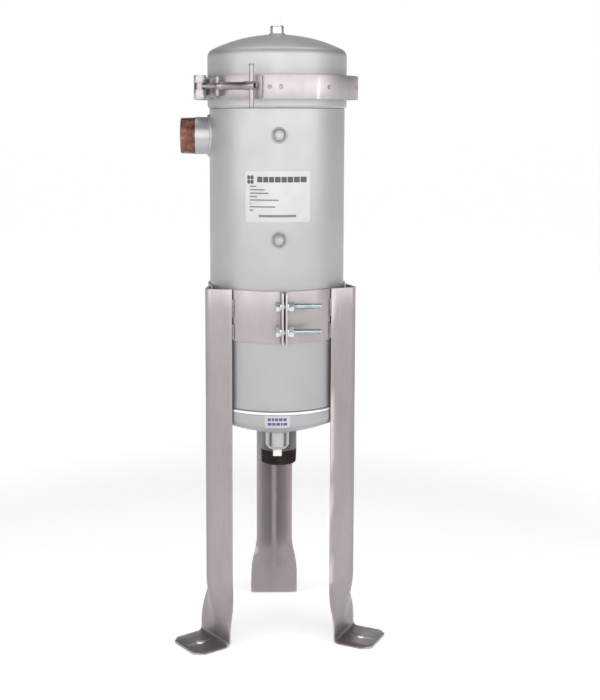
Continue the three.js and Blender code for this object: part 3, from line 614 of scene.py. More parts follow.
def rim_painted_highlight():
    """The tube sheet's turned edge in bright steel, kept lighter than the paint round it as a painted highlight
    where its ledge catches the light.
    """
    made = Surface("rim_painted_highlight", 0.38, 0.75)
    made.mottle(70, 4, (0.3, (0.78, 0.78, 0.80)), (0.7, (0.90, 0.90, 0.92)))
    made.wear(300, 3, 0.34, 0.46)
    made.grain(1600, 2, 0.06, 0.0001)
    return made.material


def bare_weld():
    """Stainless weld: brushed clean, with a trace of heat tint left in it."""
    made = Surface("bare_weld", 0.42, 0.85)
    made.mottle(110, 4, (0.3, (0.20, 0.17, 0.17)), (0.5, (0.30, 0.265, 0.265)),
                (0.75, (0.40, 0.37, 0.37)))
    made.grain(900, 3, 0.2, 0.0002)
    return made.material


THREAD_LENGTH = 24
# A piece's finish is its material and the record's slot; the last three go onto CAD nodes.
PAINT = silver_paint(), "paint"
STAINLESS = stainless_plate(), "stainless"
POLISHED = polished_steel("polished_stainless", (0.33, 0.295, 0.30), 0.36), "polished"
BRIGHT = polished_steel("bright_coupling", (0.5, 0.49, 0.51), 0.3), "polished"
PLUG = polished_steel("machined_plug", (0.88, 0.86, 0.80), 0.34), "plug"
ZINC = bright_zinc(), "zinc"
INLET_FINISH = inlet_finish(), "bare_pipe"
# painted shade: the outlet pipe's paint darkened for the shadow under the vessel
PIPE_PAINTED_SHADE = dark_pipe_painted_shade(), "dark_pipe"
LABEL = label_stock(), "label"
BLACK_INK = ink("black_ink", (0.045, 0.045, 0.05)), "label"
GREY_INK = ink("grey_ink", (0.13, 0.13, 0.135)), "label"
BLUE_INK = ink("blue_ink", (0.06, 0.05, 0.22)), "label"
# painted highlight: the bright tube sheet rim
RIM_HIGHLIGHT = rim_painted_highlight(), "core"
WELD = bare_weld(), "stainless"
RUBBER = nitrile()
PAPER = filter_paper()
SHEET = galvanised()


# ---------- vessel
KNUCKLE_CENTRE = HEAD_RADIUS - KNUCKLE_RADIUS
CROWN_ANGLE = asin(KNUCKLE_CENTRE / (CROWN_RADIUS - KNUCKLE_RADIUS))
CROWN_DROP = KNUCKLE_CENTRE / tan(CROWN_ANGLE)


def dish(inset):
    """Half profile of the pressed head above its tangent line, from the rim to the axis."""
    knuckle = KNUCKLE_RADIUS - inset
    crown = CROWN_RADIUS - inset
    steps = 14
    points = [(KNUCKLE_CENTRE + knuckle * cos(angle), knuckle * sin(angle))
              for angle in spaced(0, pi / 2 - CROWN_ANGLE, steps)]
    points += [(crown * sin(angle), crown * cos(angle) - CROWN_DROP)
               for angle in spaced(CROWN_ANGLE, 0, steps)[1:]]
    return points


HEAD_RISE = dish(0)[-1][1]
LID_TANGENT = heights("lid")[1] - HEAD_RISE
BOTTOM_TANGENT = heights("bottom_head")[0] + HEAD_RISE


def dish_height(x, y):
    """Height of the pressed head's crown above its tangent line."""
    return sqrt(CROWN_RADIUS ** 2 - x * x - y * y) - CROWN_DROP


def lip(side):
    """A flange's slope out to its edge, above (1) or below (-1) the parting line."""
    return [
        (HEAD_RADIUS, PARTING + side * 15.5, 1),
        (FLANGE_ROOT, PARTING + side * 14.5, 0.5),
        (FLANGE_RADIUS, PARTING + side * 9.5, 1),
    ]


def shell():
    profile = fillet([
        (SHELL_BORE, SHELL_BOTTOM, 0.5), (SHELL_RADIUS, SHELL_BOTTOM, 1.2),
        (SHELL_RADIUS, SHELL_TOP, 1.2), (SHELL_BORE, SHELL_TOP, 0.5),
    ])
    reach = 2 * SHELL_RADIUS
    hole = along_x(cylinder(PIPE_RADIUS + 0.2, 0, reach, PIPE_ROUND), -reach, 0, INLET_HEIGHT)
    placed("shell_tube", boolean(lathe(profile), [hole]), PAINT, "shell")


def body_flange():
    low, high = heights("body_flange")
    groove_inner, groove_outer, groove_floor = 109, 113.4, high - 3
    profile = fillet([
        (SHELL_BORE, low, 0.4),
        (SHELL_RADIUS + 0.5, low, 0.6),
        (HEAD_RADIUS, low + 3, 1.2),
        *lip(-1),
        (FLANGE_RADIUS, high, 0.5),
        (groove_outer, high, 0.3), (groove_outer, groove_floor),
        (groove_inner, groove_floor), (groove_inner, high, 0.3),
        (SHELL_BORE, high, 0.5),
    ])
    placed("flange_ring", lathe(profile), PAINT, "body_flange")


def lid():
    low = heights("lid")[0]
    outside = [(r, LID_TANGENT + h) for r, h in dish(0)]
    inside = [(r, LID_TANGENT + h) for r, h in reversed(dish(HEAD_WALL))]
    rim = fillet([
        (HEAD_BORE, low + 30),
        (HEAD_BORE, low, 0.5),
        (FLANGE_RADIUS, low, 0.5),
        *reversed(lip(1)),
        (HEAD_RADIUS, low + 30),
    ])
    placed("lid_dome", lathe(inside + rim + outside), PAINT, "lid")


def bottom_head():
    top = heights("bottom_head")[1]
    outside = [(r, BOTTOM_TANGENT - h) for r, h in reversed(dish(0))]
    inside = [(r, BOTTOM_TANGENT - h) for r, h in dish(HEAD_WALL)]
    rim = fillet([
        (HEAD_RADIUS, BOTTOM_TANGENT + 2),
        (HEAD_RADIUS, top, 2),
        (HEAD_BORE, top, 0.5),
        (HEAD_BORE, BOTTOM_TANGENT + 2),
    ])
    hole = cylinder(PIPE_RADIUS + 0.2, BOTTOM_TANGENT - 80, BOTTOM_TANGENT, PIPE_ROUND)
    shifted(hole, OUTLET.x, OUTLET.y, 0)
    head = boolean(lathe(outside + rim + inside), [hole])
    placed("bottom_dish", head, PAINT, "bottom_head")


def tube_sheet():
    low, high = heights("tube_sheet")
    rim_radius = HEAD_RADIUS + 0.3
    rim_top = low + 4.3
    spigot_radius = SHELL_BORE - 0.5
    profile = fillet([
        (0, low), (rim_radius, low, 0.8), (rim_radius, rim_top, 1.6),
        (spigot_radius, rim_top, 0.3), (spigot_radius, high, 0.6), (0, high),
    ])
    passage_radius, passage_out, rod_hole_radius = 9, 18, 5.3
    holes = []
    for quarter in range(4):
        passage = cylinder(passage_radius, low - 5, high + 5, 32)
        holes.append(shifted(passage, *on_ring(passage_out, quarter * pi / 2), 0))
    holes.append(cylinder(rod_hole_radius, low - 5, high + 5, 32))
    # the rim's bright steel is a painted highlight for its lit ledge
    placed("tube_sheet_plate", boolean(lathe(profile), holes), RIM_HIGHLIGHT, "tube_sheet")


def pipe_stub(length):
    """A pipe along +Z whose last stretch has a tapered pipe thread."""
    pitch, depth, taper = 2.21, 1.5, 1 / 32
    return threaded(PIPE_RADIUS, length, pitch, depth, length - THREAD_LENGTH, PIPE_ROUND, 7,
                    PIPE_BORE, taper)


def shell_seam(radius, lift, height, steps):
    """Where a round fitting meets the shell: how far aside, out and up each point lies."""
    seam = []
    for angle in around(steps):
        aside = radius * cos(angle)
        out = sqrt(SHELL_RADIUS ** 2 - aside * aside) + lift
        seam.append((aside, out, height + radius * sin(angle)))
    return seam


def head_weld(radius, centre, size, tangent, up):
    """A bead round a fitting where it meets a pressed head; up is -1 for the bottom one."""
    reach = radius + 0.8
    points = []
    for angle in around(160):
        x = centre.x + reach * cos(angle)
        y = centre.y + reach * sin(angle)
        points.append((x, y, tangent + up * (dish_height(x, y) + 0.4)))
    return bead(points, size)


def inlet_pipe():
    length = width("inlet_pipe")
    stub = moved(pipe_stub(length), Matrix.Rotation(pi, 4, "Y"))
    along_x(stub, INLET_END + length, 0, INLET_HEIGHT)
    placed("inlet_stub", stub, INLET_FINISH, "inlet_pipe")
    seam = shell_seam(PIPE_RADIUS + 1.2, 0.6, INLET_HEIGHT, 240)
    weld = bead([(-out, aside, z) for aside, out, z in seam], 2.9)
    placed("inlet_weld", weld, PAINT)


def outlet_pipe():
    low, high = heights("outlet_pipe")
    stub = moved(pipe_stub(high - low), Matrix.Rotation(pi, 4, "X"))
    shifted(stub, OUTLET.x, OUTLET.y, high)
    placed("outlet_stub", stub, PIPE_PAINTED_SHADE, "outlet_pipe")
    placed("outlet_weld", head_weld(PIPE_RADIUS, OUTLET, 2.6, BOTTOM_TANGENT, -1), PAINT)


def half_coupling(radius, bore, length, chamfer=1.2):
    """A forged half coupling along -Z with its mouth at 0, chamfered inside and out."""
    return fitting([
        (bore, -length), (radius, -length), (radius, -chamfer * 1.3, 1), (radius - chamfer, 0, 0.6),
        (bore + 0.8, 0, 0.3), (bore, -0.8),
    ])


def square_plug(radius, depth, square, head_bottom, head_top):
    """A square-head pipe plug along +Z: threaded part, then the head with its corners clipped."""
    thread = threaded(radius, depth + head_bottom, 1.6, 0.9, facets=FITTING_ROUND)
    shifted(thread, 0, 0, -depth)
    half = square / 2
    head = block([-half, half], [-half, half], [head_bottom - 0.6, head_top])
    round_edges(head, 0.9, 3)
    clip = lathe([
        (0, head_bottom - 3), (half * 1.6, head_bottom - 3), (half * 1.6, head_top - 3.2),
        (half * 1.13, head_top + 0.5), (0, head_top + 0.5),
    ], FITTING_ROUND)
    return merged(thread, boolean(head, [clip], "INTERSECT"))


PORT_RADIUS = width("vent_coupling") / 2
PORT_BORE = 8.2
PORT_DEPTH = 12


def gauge_port(level):
    node = f"gauge_coupling_{level}"
    height = mid_height(node)
    mouth = -(PORT.inverted() @ Vector((AXIS.x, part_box(node)[0][1], 0))).y
    coupling = half_coupling(PORT_RADIUS, PORT_BORE, mouth - SHELL_BORE, chamfer=2.2)
    outward(coupling, mouth, height)
    placed(f"gauge_port_{level}", coupling, PAINT, node, PORT)
    plug = square_plug(PORT_BORE - 0.2, PORT_DEPTH, square=9.6, head_bottom=0.5, head_top=5.5)
    outward(plug, mouth, height)
    placed(f"gauge_plug_{level}_painted", plug, PAINT, f"gauge_plug_{level}", PORT)
    seam = shell_seam(PORT_RADIUS + 0.3, 0.3, height, 120)
    weld = bead([(aside, -out, z) for aside, out, z in seam], 1.3)
    placed(f"gauge_weld_{level}", weld, PAINT, place=PORT)


def vent_fitting():
    low, high = heights("vent_coupling")
    coupling = shifted(half_coupling(PORT_RADIUS, PORT_BORE, high - low), 0, 0, high)
    placed("vent_port", coupling, BRIGHT, "vent_coupling")
    head_top = heights("vent_plug")[1] - high
    plug = square_plug(PORT_BORE - 0.2, PORT_DEPTH, square=11.1, head_bottom=0.5, head_top=head_top)
    shifted(plug, 0, 0, high)
    placed("vent_plug_square", plug, PLUG, "vent_plug", body="vent_plug")
    placed("vent_weld", head_weld(PORT_RADIUS, Vector((0, 0)), 1.7, LID_TANGENT, 1), PAINT)


def drain_fitting():
    low, high = heights("drain_coupling")
    radius = width("drain_coupling") / 2
    down = Matrix.Translation((DRAIN.x, DRAIN.y, low)) @ Matrix.Rotation(pi, 4, "X")
    bore = 10.7
    coupling = moved(half_coupling(radius, bore, high - low, chamfer=4), down)
    placed("drain_port", coupling, BRIGHT, "drain_coupling")
    head_top = low - heights("drain_plug")[0]
    plug = square_plug(10.5, depth=14, square=14.3, head_bottom=head_top - 11, head_top=head_top)
    moved(plug, down)
    placed("drain_plug_square", plug, PLUG, "drain_plug", body="drain_plug")
    placed("drain_weld", head_weld(radius, DRAIN, 1.9, BOTTOM_TANGENT, -1), PAINT)


# ---------- labels
def sliced(mesh, axis, low, high, count):
    """Cuts a mesh across into count equal strips between two places on an axis."""
    for cut in spaced(low, high, count)[1:-1]:
        geometry = mesh.verts[:] + mesh.edges[:] + mesh.faces[:]
        bmesh.ops.bisect_plane(mesh, geom=geometry, plane_co=axis * cut, plane_no=axis)
    return mesh


def curved_patch(radius, x, z, thickness=0.12, corner=0.0):
    """A thin sheet bent round the vessel. x is measured round the surface from the front."""
    outline = fillet([
        (x[0], z[0], corner), (x[1], z[0], corner), (x[1], z[1], corner), (x[0], z[1], corner),
    ], 6)
    mesh = bmesh.new()
    mesh.faces.new([mesh.verts.new((px, 0, pz)) for px, pz in outline])
    sliced(mesh, Vector((1, 0, 0)), *x, max(2, round((x[1] - x[0]) / 3)))
    made = bmesh.ops.extrude_face_region(mesh, geom=mesh.faces[:])
    for element in made["geom"]:
        if isinstance(element, bmesh.types.BMVert):
            element.co.y -= thickness
    for vertex in mesh.verts:
        across, _, height = vertex.co
        vertex.co = (*on_ring(radius - vertex.co.y, across / radius), height)
    bmesh.ops.recalc_face_normals(mesh, faces=mesh.faces)
    return mesh


def main_label():
    low, high = heights("main_label")
    half = 52
    stock = curved_patch(SHELL_RADIUS + 0.1, (-half, half), (low, high), 0.15, 2)
    placed("main_label_stock", stock, LABEL, "main_label", sharp=20)
    skin_radius = SHELL_RADIUS + 0.26

    def mark(x, length, top, height, corner=0.0):
        """A printed mark, placed from the label's top left corner."""
        left = x - half
        rows = (high - top - height, high - top)
        return curved_patch(skin_radius, (left, left + length), rows, 0.04, corner)

    heading = [mark(x, 5, top, 6.2, 1.5) for top in (6.5, 13.3) for x in (3, 8.6)]
    x = 19.5
    for block_width in (8.5, 8, 8, 9, 8.5, 9, 9.5, 10.5):
        heading.append(mark(x, block_width, 8.4, 8.8, 1))
        x += block_width + 1.1
    placed("main_label_heading", merged(*heading), BLACK_INK)
    line_lengths = (11, 24, 30, 12, 46, 2, 41, 6)
    lines = [mark(7.2, length, 22.4 + 5.3 * row, 2.1) for row, length in enumerate(line_lengths)]
    lines.append(mark(22, 59, 67.6, 3.6))
    placed("main_label_lines", merged(*lines), GREY_INK)


def onto_head(mesh):
    """Bends what reaches below the head's straight rim round its knuckle."""
    for vertex in mesh.verts:
        stand = hypot(vertex.co.x, vertex.co.y) - HEAD_RADIUS
        drop = BOTTOM_TANGENT - vertex.co.z
        angle = atan2(vertex.co.x, -vertex.co.y)
        if drop > 0:
            turn = drop / KNUCKLE_RADIUS
            reach = KNUCKLE_RADIUS + stand
            radius = KNUCKLE_CENTRE + reach * cos(turn)
            vertex.co = (*on_ring(radius, angle), BOTTOM_TANGENT - reach * sin(turn))
    return mesh


def drain_label():
    """The sticker lies on the head's straight rim, and its lower part on the knuckle."""
    low, high = heights("drain_label")
    half = 20

    def strip(radius, x, z, thickness, corner=0.0):
        sheet = curved_patch(radius, x, z, thickness, corner)
        return onto_head(sliced(sheet, Vector((0, 0, 1)), *z, 8))

    stock = strip(HEAD_RADIUS + 0.15, (-half, half), (low - 0.6, high - 0.4), 0.15, 1.5)
    placed("drain_label_stock", stock, LABEL, "drain_label", sharp=20)
    marks = []
    for top, lengths in ((high - 4, (5, 4, 5, 6, 5)), (high - 11.4, (6, 5, 6, 3, 6))):
        x = -15.5
        for length in lengths:
            marks.append(strip(HEAD_RADIUS + 0.31, (x, x + length), (top - 4.6, top), 0.04))
            x += length + 1.2
    placed("drain_label_print", merged(*marks), BLUE_INK)


# ---------- lid clamp
STRAP_RADIUS = 131
STRAP_INNER = 129
STRAP_BOTTOM, STRAP_TOP = heights("clamp_strap")
TRUNNION_RADIUS = 7
LOOP_INNER = TRUNNION_RADIUS + 0.3
LOOP_OUTER = LOOP_INNER + 2.4
BOLT_RADIUS = 4
SADDLE_FACE = -21.5
NUT_START = -15.7
NUT_END = 51
BAR_U = (LATCH.inverted() @ middle("clamp_bar")).x
FOLD_END = 50


def on_bolt(mesh, start):
    """Lays a mesh made along +Z along the swing bolt."""
    return along_x(mesh, start, -BOLT_LINE, BOLT_HEIGHT)


def bolt_block(x, y, half_height):
    return block(x, y, [BOLT_HEIGHT - half_height, BOLT_HEIGHT + half_height])


def across_bolt(mesh, at):
    """Stands an upright mesh across the swing bolt's line."""
    return shifted(mesh, at, -BOLT_LINE, 0)


def strap_outline():
    """The strap seen from above: round the clamp, off along the tangent, and round the pin."""
    loop_distance = hypot(TRUNNION_U, BOLT_LINE)
    leave = atan2(TRUNNION_U, BOLT_LINE) - acos((STRAP_RADIUS - LOOP_OUTER) / loop_distance)
    start = asin(SADDLE_FACE / STRAP_RADIUS)
    outer = arc(STRAP_RADIUS, start, TWO_PI + leave, ROUND)
    inner = arc(STRAP_INNER, TWO_PI + leave, start, ROUND)

    def round_pin(radius, angle):
        x, y = on_ring(radius, angle)
        return TRUNNION_U + x, -BOLT_LINE + y

    turn_steps = 30
    wrap = radians(285)
    outside = [round_pin(LOOP_OUTER, angle) for angle in spaced(leave, leave + wrap, turn_steps)]
    inside = [round_pin(LOOP_INNER, angle) for angle in spaced(leave + wrap, leave, turn_steps)]
    return outer + outside + inside + inner


def clamp_strap():
    band = extrude(strap_outline(), STRAP_BOTTOM, STRAP_TOP)
    slot_half = BOLT_RADIUS + 1
    slot = bolt_block([TRUNNION_U - slot_half, TRUNNION_U + 2 * LOOP_OUTER],
                      [-BOLT_LINE - 2 * LOOP_OUTER, -BOLT_LINE + slot_half], slot_half)
    band = boolean(band, [slot])
    round_edges(band, 0.45, 2, 0.9)
    placed("clamp_strap_band", band, STAINLESS, "clamp_strap", LATCH)


def spot_welds():
    """Round dimples where the strap is spot-welded to the retainers and the saddle."""
    spots = []
    latch_turn = atan2(LATCH_AXIS.y, LATCH_AXIS.x)
    for degrees in (-5.6, 1.9, 37, 72, 88, 130, 170, 192, 208, 235, 262):
        dimple = lathe([(0, -0.1), (3.6, -0.1), (3.6, 0.1), (3, 0.35), (2.4, 0.1), (0, 0.03)], 28)
        outward(dimple, STRAP_RADIUS, (STRAP_BOTTOM + STRAP_TOP) / 2)
        spots.append(moved(dimple, Matrix.Rotation(radians(degrees) - latch_turn, 4, "Z")))
    placed("clamp_spot_welds", merged(*spots), WELD, place=LATCH)


def clamp_retainer(side, start, end):
    """A V section rolled to the flange, seen in the gap between the strap's ends."""
    web = STRAP_INNER - 0.15
    root = FLANGE_ROOT + 0.6
    edge = FLANGE_RADIUS + 0.5
    wall = 3
    section = fillet([
        (root, 15 + wall, 1), (web, 10 + wall, 1.5), (web, -10 - wall, 1.5), (root, -15 - wall, 1),
        (root, -15, 0.5), (edge, -9.7, 1.5), (edge, 9.7, 1.5), (root, 15, 0.5),
    ])
    steps = max(8, round((end - start) / 2.5))
    rings = []
    for degrees in spaced(start, end, steps):
        angle = radians(degrees)
        rings.append([(*on_ring(radius, angle), PARTING + height) for radius, height in section])
    placed(f"retainer_{side}", skin(rings, caps=True), STAINLESS, f"clamp_retainer_{side}")


def clamp_bolt():
    low, high = heights("clamp_bolt")
    pin = fitting([(0, low), (TRUNNION_RADIUS, low, 1), (TRUNNION_RADIUS, high, 1), (0, high)])
    across_bolt(pin, TRUNNION_U)
    screw = threaded(BOLT_RADIUS, BAR_U - 14 - TRUNNION_U, 1.41, 0.75, plain=12)
    on_bolt(screw, TRUNNION_U)
    placed("swing_bolt_steel", merged(pin, screw), POLISHED, "clamp_bolt", LATCH, "swing_bolt")


def clamp_saddle():
    """A folded plate on the strap, with a forked cheek that the nut bears on."""
    inner = STRAP_RADIUS + 0.4
    outer = inner + 2.2
    start = asin(SADDLE_FACE / inner)
    end = asin(FOLD_END / inner)
    outline = arc(outer, start, end, 40) + arc(inner, end, start, 40)
    plate = extrude(outline, STRAP_BOTTOM + 1, STRAP_TOP - 1)
    cheek = bolt_block([SADDLE_FACE, -16], [-BOLT_LINE, -(inner + 1)], 15)
    slot_half = BOLT_RADIUS + 0.6
    slot = bolt_block([SADDLE_FACE - 2, -14], [-BOLT_LINE - 20, -(outer + 2)], slot_half)
    body = boolean(boolean(plate, [cheek], "UNION"), [slot])
    round_edges(body, 0.5, 2, 0.9)
    placed("saddle_plate", body, POLISHED, "clamp_saddle", LATCH)


def saddle_weld_shade_line():
    """A weld bead that ties the end of the saddle to the strap; its dark heat-tinted colour also stands for the
    shadow line along the saddle's end, as painted shade.
    """
    angle = asin((FOLD_END + 1) / STRAP_RADIUS)
    x, y = on_ring(STRAP_RADIUS + 0.6, angle)
    line = [(x, y, z) for z in spaced(STRAP_BOTTOM + 2, STRAP_TOP - 2, 60)]
    placed("saddle_end_weld_shade_line", bead(line, 1.4, closed=False), WELD, place=LATCH)


def clamp_nut():
    """A long barrel nut: collar, plain barrel, and an eye for the bar near its open end."""
    radius = width("clamp_nut", 2) / 2
    bore = BOLT_RADIUS + 0.3
    length = NUT_END - NUT_START
    waist = radius - 0.9
    profile = [
        (bore, 0), (radius - 0.6, 0), (radius, 0.6), (radius, 8), (waist, 9), (waist, 46),
        (radius, 47.5), (radius, length - 1), (radius - 1, length), (bore + 0.8, length),
        (bore, length - 0.8),
    ]
    barrel = on_bolt(lathe(profile, FITTING_ROUND), NUT_START)
    eye = cylinder(width("clamp_bar") / 2 - 0.4, BOLT_HEIGHT - 20, BOLT_HEIGHT + 20, 32)
    nut = boolean(barrel, [across_bolt(eye, BAR_U)])
    placed("barrel_nut_steel", nut, POLISHED, "clamp_nut", LATCH, "barrel_nut")
    # A dark sleeve just inside the nut's open end, in the pipe's painted-shade grey: painted shade for the
    # shadowed bore.
    mouth = lathe([(bore - 0.3, 0), (bore, 0), (bore, 2.2), (bore - 0.3, 2.2)], FITTING_ROUND)
    on_bolt(mouth, NUT_END - 2.6)
    placed("barrel_nut_mouth_shade", mouth, (PIPE_PAINTED_SHADE[0], "polished"), place=LATCH, body="barrel_nut")


def clamp_bar():
    low, high = heights("clamp_bar")
    radius = 3.4
    end = radius + 0.8
    bar = fitting([
        (0, low), (end, low, 1), (end, low + 1.6, 0.5), (radius, low + 2.6, 0.5),
        (radius, high - 2.6, 0.5), (end, high - 1.6, 0.5), (end, high, 1), (0, high),
    ])
    across_bolt(bar, BAR_U)
    placed("tommy_bar_steel", bar, POLISHED, "clamp_bar", LATCH, "tommy_bar")


# ---------- stand
BAND_BORE = 110
BAND_RADIUS = 113
BAND_BOTTOM, BAND_TOP = heights("stand_band")
LUG_REACH = 135
STAND_BOLT_OUT = 125
WASHER_BORE = 5.1
WASHER_RADIUS = 8.7
WASHER_THICKNESS = 2.2
LUG_INNER = 1.5
LUG_OUTER = 4.5
LEG_WIDTH = 82
LEG_THICKNESS = 4
LEG_APEX = 137.3
LEG_FOLD = pi / 4
FOLD_BEND = 8
FOOT_RADIUS = 124
FOOT_TIP = 186
FOOT_BEND = 8
FLAT_HEIGHT = 20
FOLDED_HEIGHT = 112


def stand_band():
    """A hoop rolled from strip, whose ends are bent out into the two lugs."""
    blend = 3
    bore_angle = asin(LUG_INNER / BAND_BORE)
    outer_angle = asin((LUG_OUTER + blend) / BAND_RADIUS)
    outer = arc(BAND_RADIUS, outer_angle, TWO_PI - outer_angle, ROUND)
    bore = arc(BAND_BORE, TWO_PI - bore_angle, bore_angle, ROUND)
    lug = [(LUG_INNER, -LUG_REACH), (LUG_OUTER, -LUG_REACH), (LUG_OUTER, -BAND_RADIUS - blend)]
    corner = Vector((LUG_OUTER, -BAND_RADIUS))
    lug += bend(Vector(lug[-1]), corner, Vector(outer[0]), 6)[1:-1]
    mirrored = [(-x, y) for x, y in reversed(lug)]
    band = extrude(bore + lug + outer + mirrored, BAND_BOTTOM, BAND_TOP)
    holes = []
    for level in ("upper", "lower"):
        hole = cylinder(WASHER_BORE, -20, 20, 32)
        holes.append(along_x(hole, 0, -STAND_BOLT_OUT, mid_height(f"stand_nut_{level}")))
    band = boolean(band, holes)
    round_edges(band, 0.5, 2, 0.9)
    placed("stand_band_strip", band, STAINLESS, "stand_band", SPLIT, "stand")


def hexagon(flats, thickness):
    """A hexagon nut blank along +Z with its corners turned off at both faces."""
    chamfer = 0.9
    corner = flats / sqrt(3)
    blank = extrude([on_ring(corner, pi / 3 * i) for i in range(6)], 0, thickness)
    turned_off = lathe([
        (0, -0.1), (corner - chamfer - 0.4, -0.1), (corner + 0.2, chamfer),
        (corner + 0.2, thickness - chamfer), (corner - chamfer - 0.4, thickness + 0.1),
        (0, thickness + 0.1),
    ], FITTING_ROUND)
    return boolean(blank, [turned_off], "INTERSECT")


def stand_fasteners(level):
    line = -STAND_BOLT_OUT
    z = mid_height(f"stand_nut_{level}")
    washer_at = LUG_OUTER + 0.15
    seat = washer_at + WASHER_THICKNESS + 0.15
    flats, head_height, nut_height = 14.3, 6.4, 8.3
    tail_end = 57.7
    head = along_x(hexagon(flats, head_height), -seat - head_height, line, z)
    shank = threaded(4.76, seat + 1 + tail_end, 1.5875, 0.95, plain=seat + 6)
    along_x(shank, -seat - 1, line, z)
    bolt = f"stand_bolt_{level}"
    placed(f"{bolt}_steel", merged(head, shank), ZINC, bolt, SPLIT, "stand")
    nut = boolean(hexagon(flats, nut_height), [cylinder(4.95, -2, 12, 32)])
    along_x(nut, seat, line, z)
    placed(f"stand_nut_{level}_steel", nut, ZINC, f"stand_nut_{level}", SPLIT, "stand")
    for side, start in (("head", -washer_at - WASHER_THICKNESS), ("nut", washer_at)):
        washer = fitting([
            (WASHER_BORE, 0, 0.2), (WASHER_RADIUS, 0, 0.5),
            (WASHER_RADIUS, WASHER_THICKNESS, 0.5), (WASHER_BORE, WASHER_THICKNESS, 0.2),
        ])
        along_x(washer, start, line, z)
        name = f"stand_washer_{level}_{side}"
        placed(f"{name}_steel", washer, ZINC, name, SPLIT, "stand")


def leg_stations():
    """Stations up the middle of a leg's plate: distance out, height and lean."""
    middle_z = LEG_THICKNESS / 2
    centre = FOOT_RADIUS + FOOT_BEND
    flat = pi / 2
    stations = [(FOOT_TIP, middle_z, flat), ((FOOT_TIP + centre) / 2, middle_z, flat)]
    for lean in spaced(flat, 0, 8):
        stations.append((centre - FOOT_BEND * cos(lean),
                         middle_z + FOOT_BEND * (1 - sin(lean)), lean))
    upright = spaced(FLAT_HEIGHT, FOLDED_HEIGHT, 28) + spaced(FOLDED_HEIGHT, BAND_TOP, 12)[1:]
    return stations + [(FOOT_RADIUS, height, 0) for height in upright]


def fold_offset(reach, fold):
    """How far the rounded fold carries the plate inward and aside at a distance from its ridge."""
    curved = min(abs(reach), FOLD_BEND)
    straight = abs(reach) - curved
    if fold < 1e-5:
        return 0, reach, 0
    radius = FOLD_BEND / fold
    turn = fold * curved / FOLD_BEND
    inward = radius * (1 - cos(turn)) + straight * sin(fold)
    aside = radius * sin(turn) + straight * cos(fold)
    return inward, copysign(aside, reach), copysign(turn, reach)


def leg_plate():
    """The bent plate, with its folded upright and its flat foot."""
    half = LEG_WIDTH / 2
    outer = [half * share for share in (0.4, 0.6, 0.8, 1)]
    across = [-reach for reach in reversed(outer)] + [*range(-10, 11, 2)] + outer
    loop = [(reach, 1) for reach in across] + [(reach, -1) for reach in reversed(across)]
    edge = 0.9
    rings = []
    for out, height, lean in leg_stations():
        along = min(1, max(0, (height - FLAT_HEIGHT) / (FOLDED_HEIGHT - FLAT_HEIGHT)))
        folded = along * along * (3 - 2 * along)
        ridge = out + (LEG_APEX - FOOT_RADIUS) * folded
        points = []
        for reach, face in loop:
            offset = face * (LEG_THICKNESS / 2 - (edge if abs(reach) == half else 0))
            inward, aside, turn = fold_offset(reach, LEG_FOLD * folded)
            distance = ridge - inward + offset * cos(turn) * cos(lean)
            points.append((aside + offset * sin(turn), -distance,
                           height + offset * sin(lean)))
        rings.append(points)
    return skin(rings, caps=True)


def leg(side):
    half = LEG_WIDTH / 2
    anchor_radius, anchor_out = 7, 155.4
    corner_cut, spare = 18, 5
    cuts = [shifted(cylinder(anchor_radius, -10, 20, 48), 0, -anchor_out, 0)]
    for end in (-1, 1):
        cuts.append(extrude([
            (end * (half + spare), -FOOT_TIP - spare),
            (end * (half + spare), -FOOT_TIP + corner_cut),
            (end * (half - corner_cut), -FOOT_TIP - spare),
        ], -10, 20))
    plate = boolean(leg_plate(), cuts)
    round_edges(plate, 0.45, 2, 0.95)
    facing = turned(azimuth(MOUNTS[f"foot_{side}"]["pos_m"]))
    placed(f"leg_{side}_plate", plate, STAINLESS, f"leg_{side}", facing, "stand")
    edge_x = 31.6
    edge_y = -sqrt((BAND_RADIUS + 1) ** 2 - edge_x ** 2)
    stitches = ((BAND_BOTTOM + 3, BAND_BOTTOM + 27), (BAND_TOP - 44, BAND_TOP - 16))
    beads = []
    for end in (-1, 1):
        for low, high in stitches:
            line = [(end * edge_x, edge_y, z) for z in spaced(low, high, 40)]
            beads.append(bead(line, 1.8, closed=False))
    placed(f"leg_{side}_welds", merged(*beads), WELD, place=facing, body="stand")


# ---------- inside
def inside():
    """The element and its fixings stay as the CAD nodes, with their own finishes."""
    finishes = {
        PAPER: ["element_media"],
        SHEET: ["element_lower_cap", "element_upper_cap", "element_core", "hold_down_plate"],
        ZINC[0]: ["hold_down_washer", "hold_down_nut", "tie_rod"],
        RUBBER: ["element_gasket", "lid_gasket"],
    }
    for finish, nodes in finishes.items():
        for node in nodes:
            for slot in frame["nodes"][node].material_slots:
                slot.material = finish


# ---------- stage
def floor():
    data = bpy.data.meshes.new("floor")
    reach = 30
    data.from_pydata([(-reach, -reach, 0), (reach, -reach, 0), (reach, reach, 0), (-reach, reach, 0)],
                     [], [(0, 1, 2, 3)])
    surface = Surface("floor_paper", 0.9)
    surface.shader.inputs["Emission Color"].default_value = (1, 1, 1, 1)
    from_middle = surface.node("ShaderNodeVectorMath", operation="LENGTH")
    surface.join(surface.place, from_middle.inputs[0])
    # The floor glows so it reads white, weaker within 0.8 m of its middle and full from 1.6 m: the dim middle is a
    # painted soft shadow round the stand.
    glow_with_painted_shadow = surface.spread(from_middle.outputs["Value"], 0.54, 0.92, 0.8, 1.6)
    surface.join(glow_with_painted_shadow, surface.shader.inputs["Emission Strength"])
    surface.mottle(2, 2, (0.3, (0.88, 0.88, 0.88)), (0.7, (0.90, 0.90, 0.90)))
    data.materials.append(surface.material)
    added("floor", data)


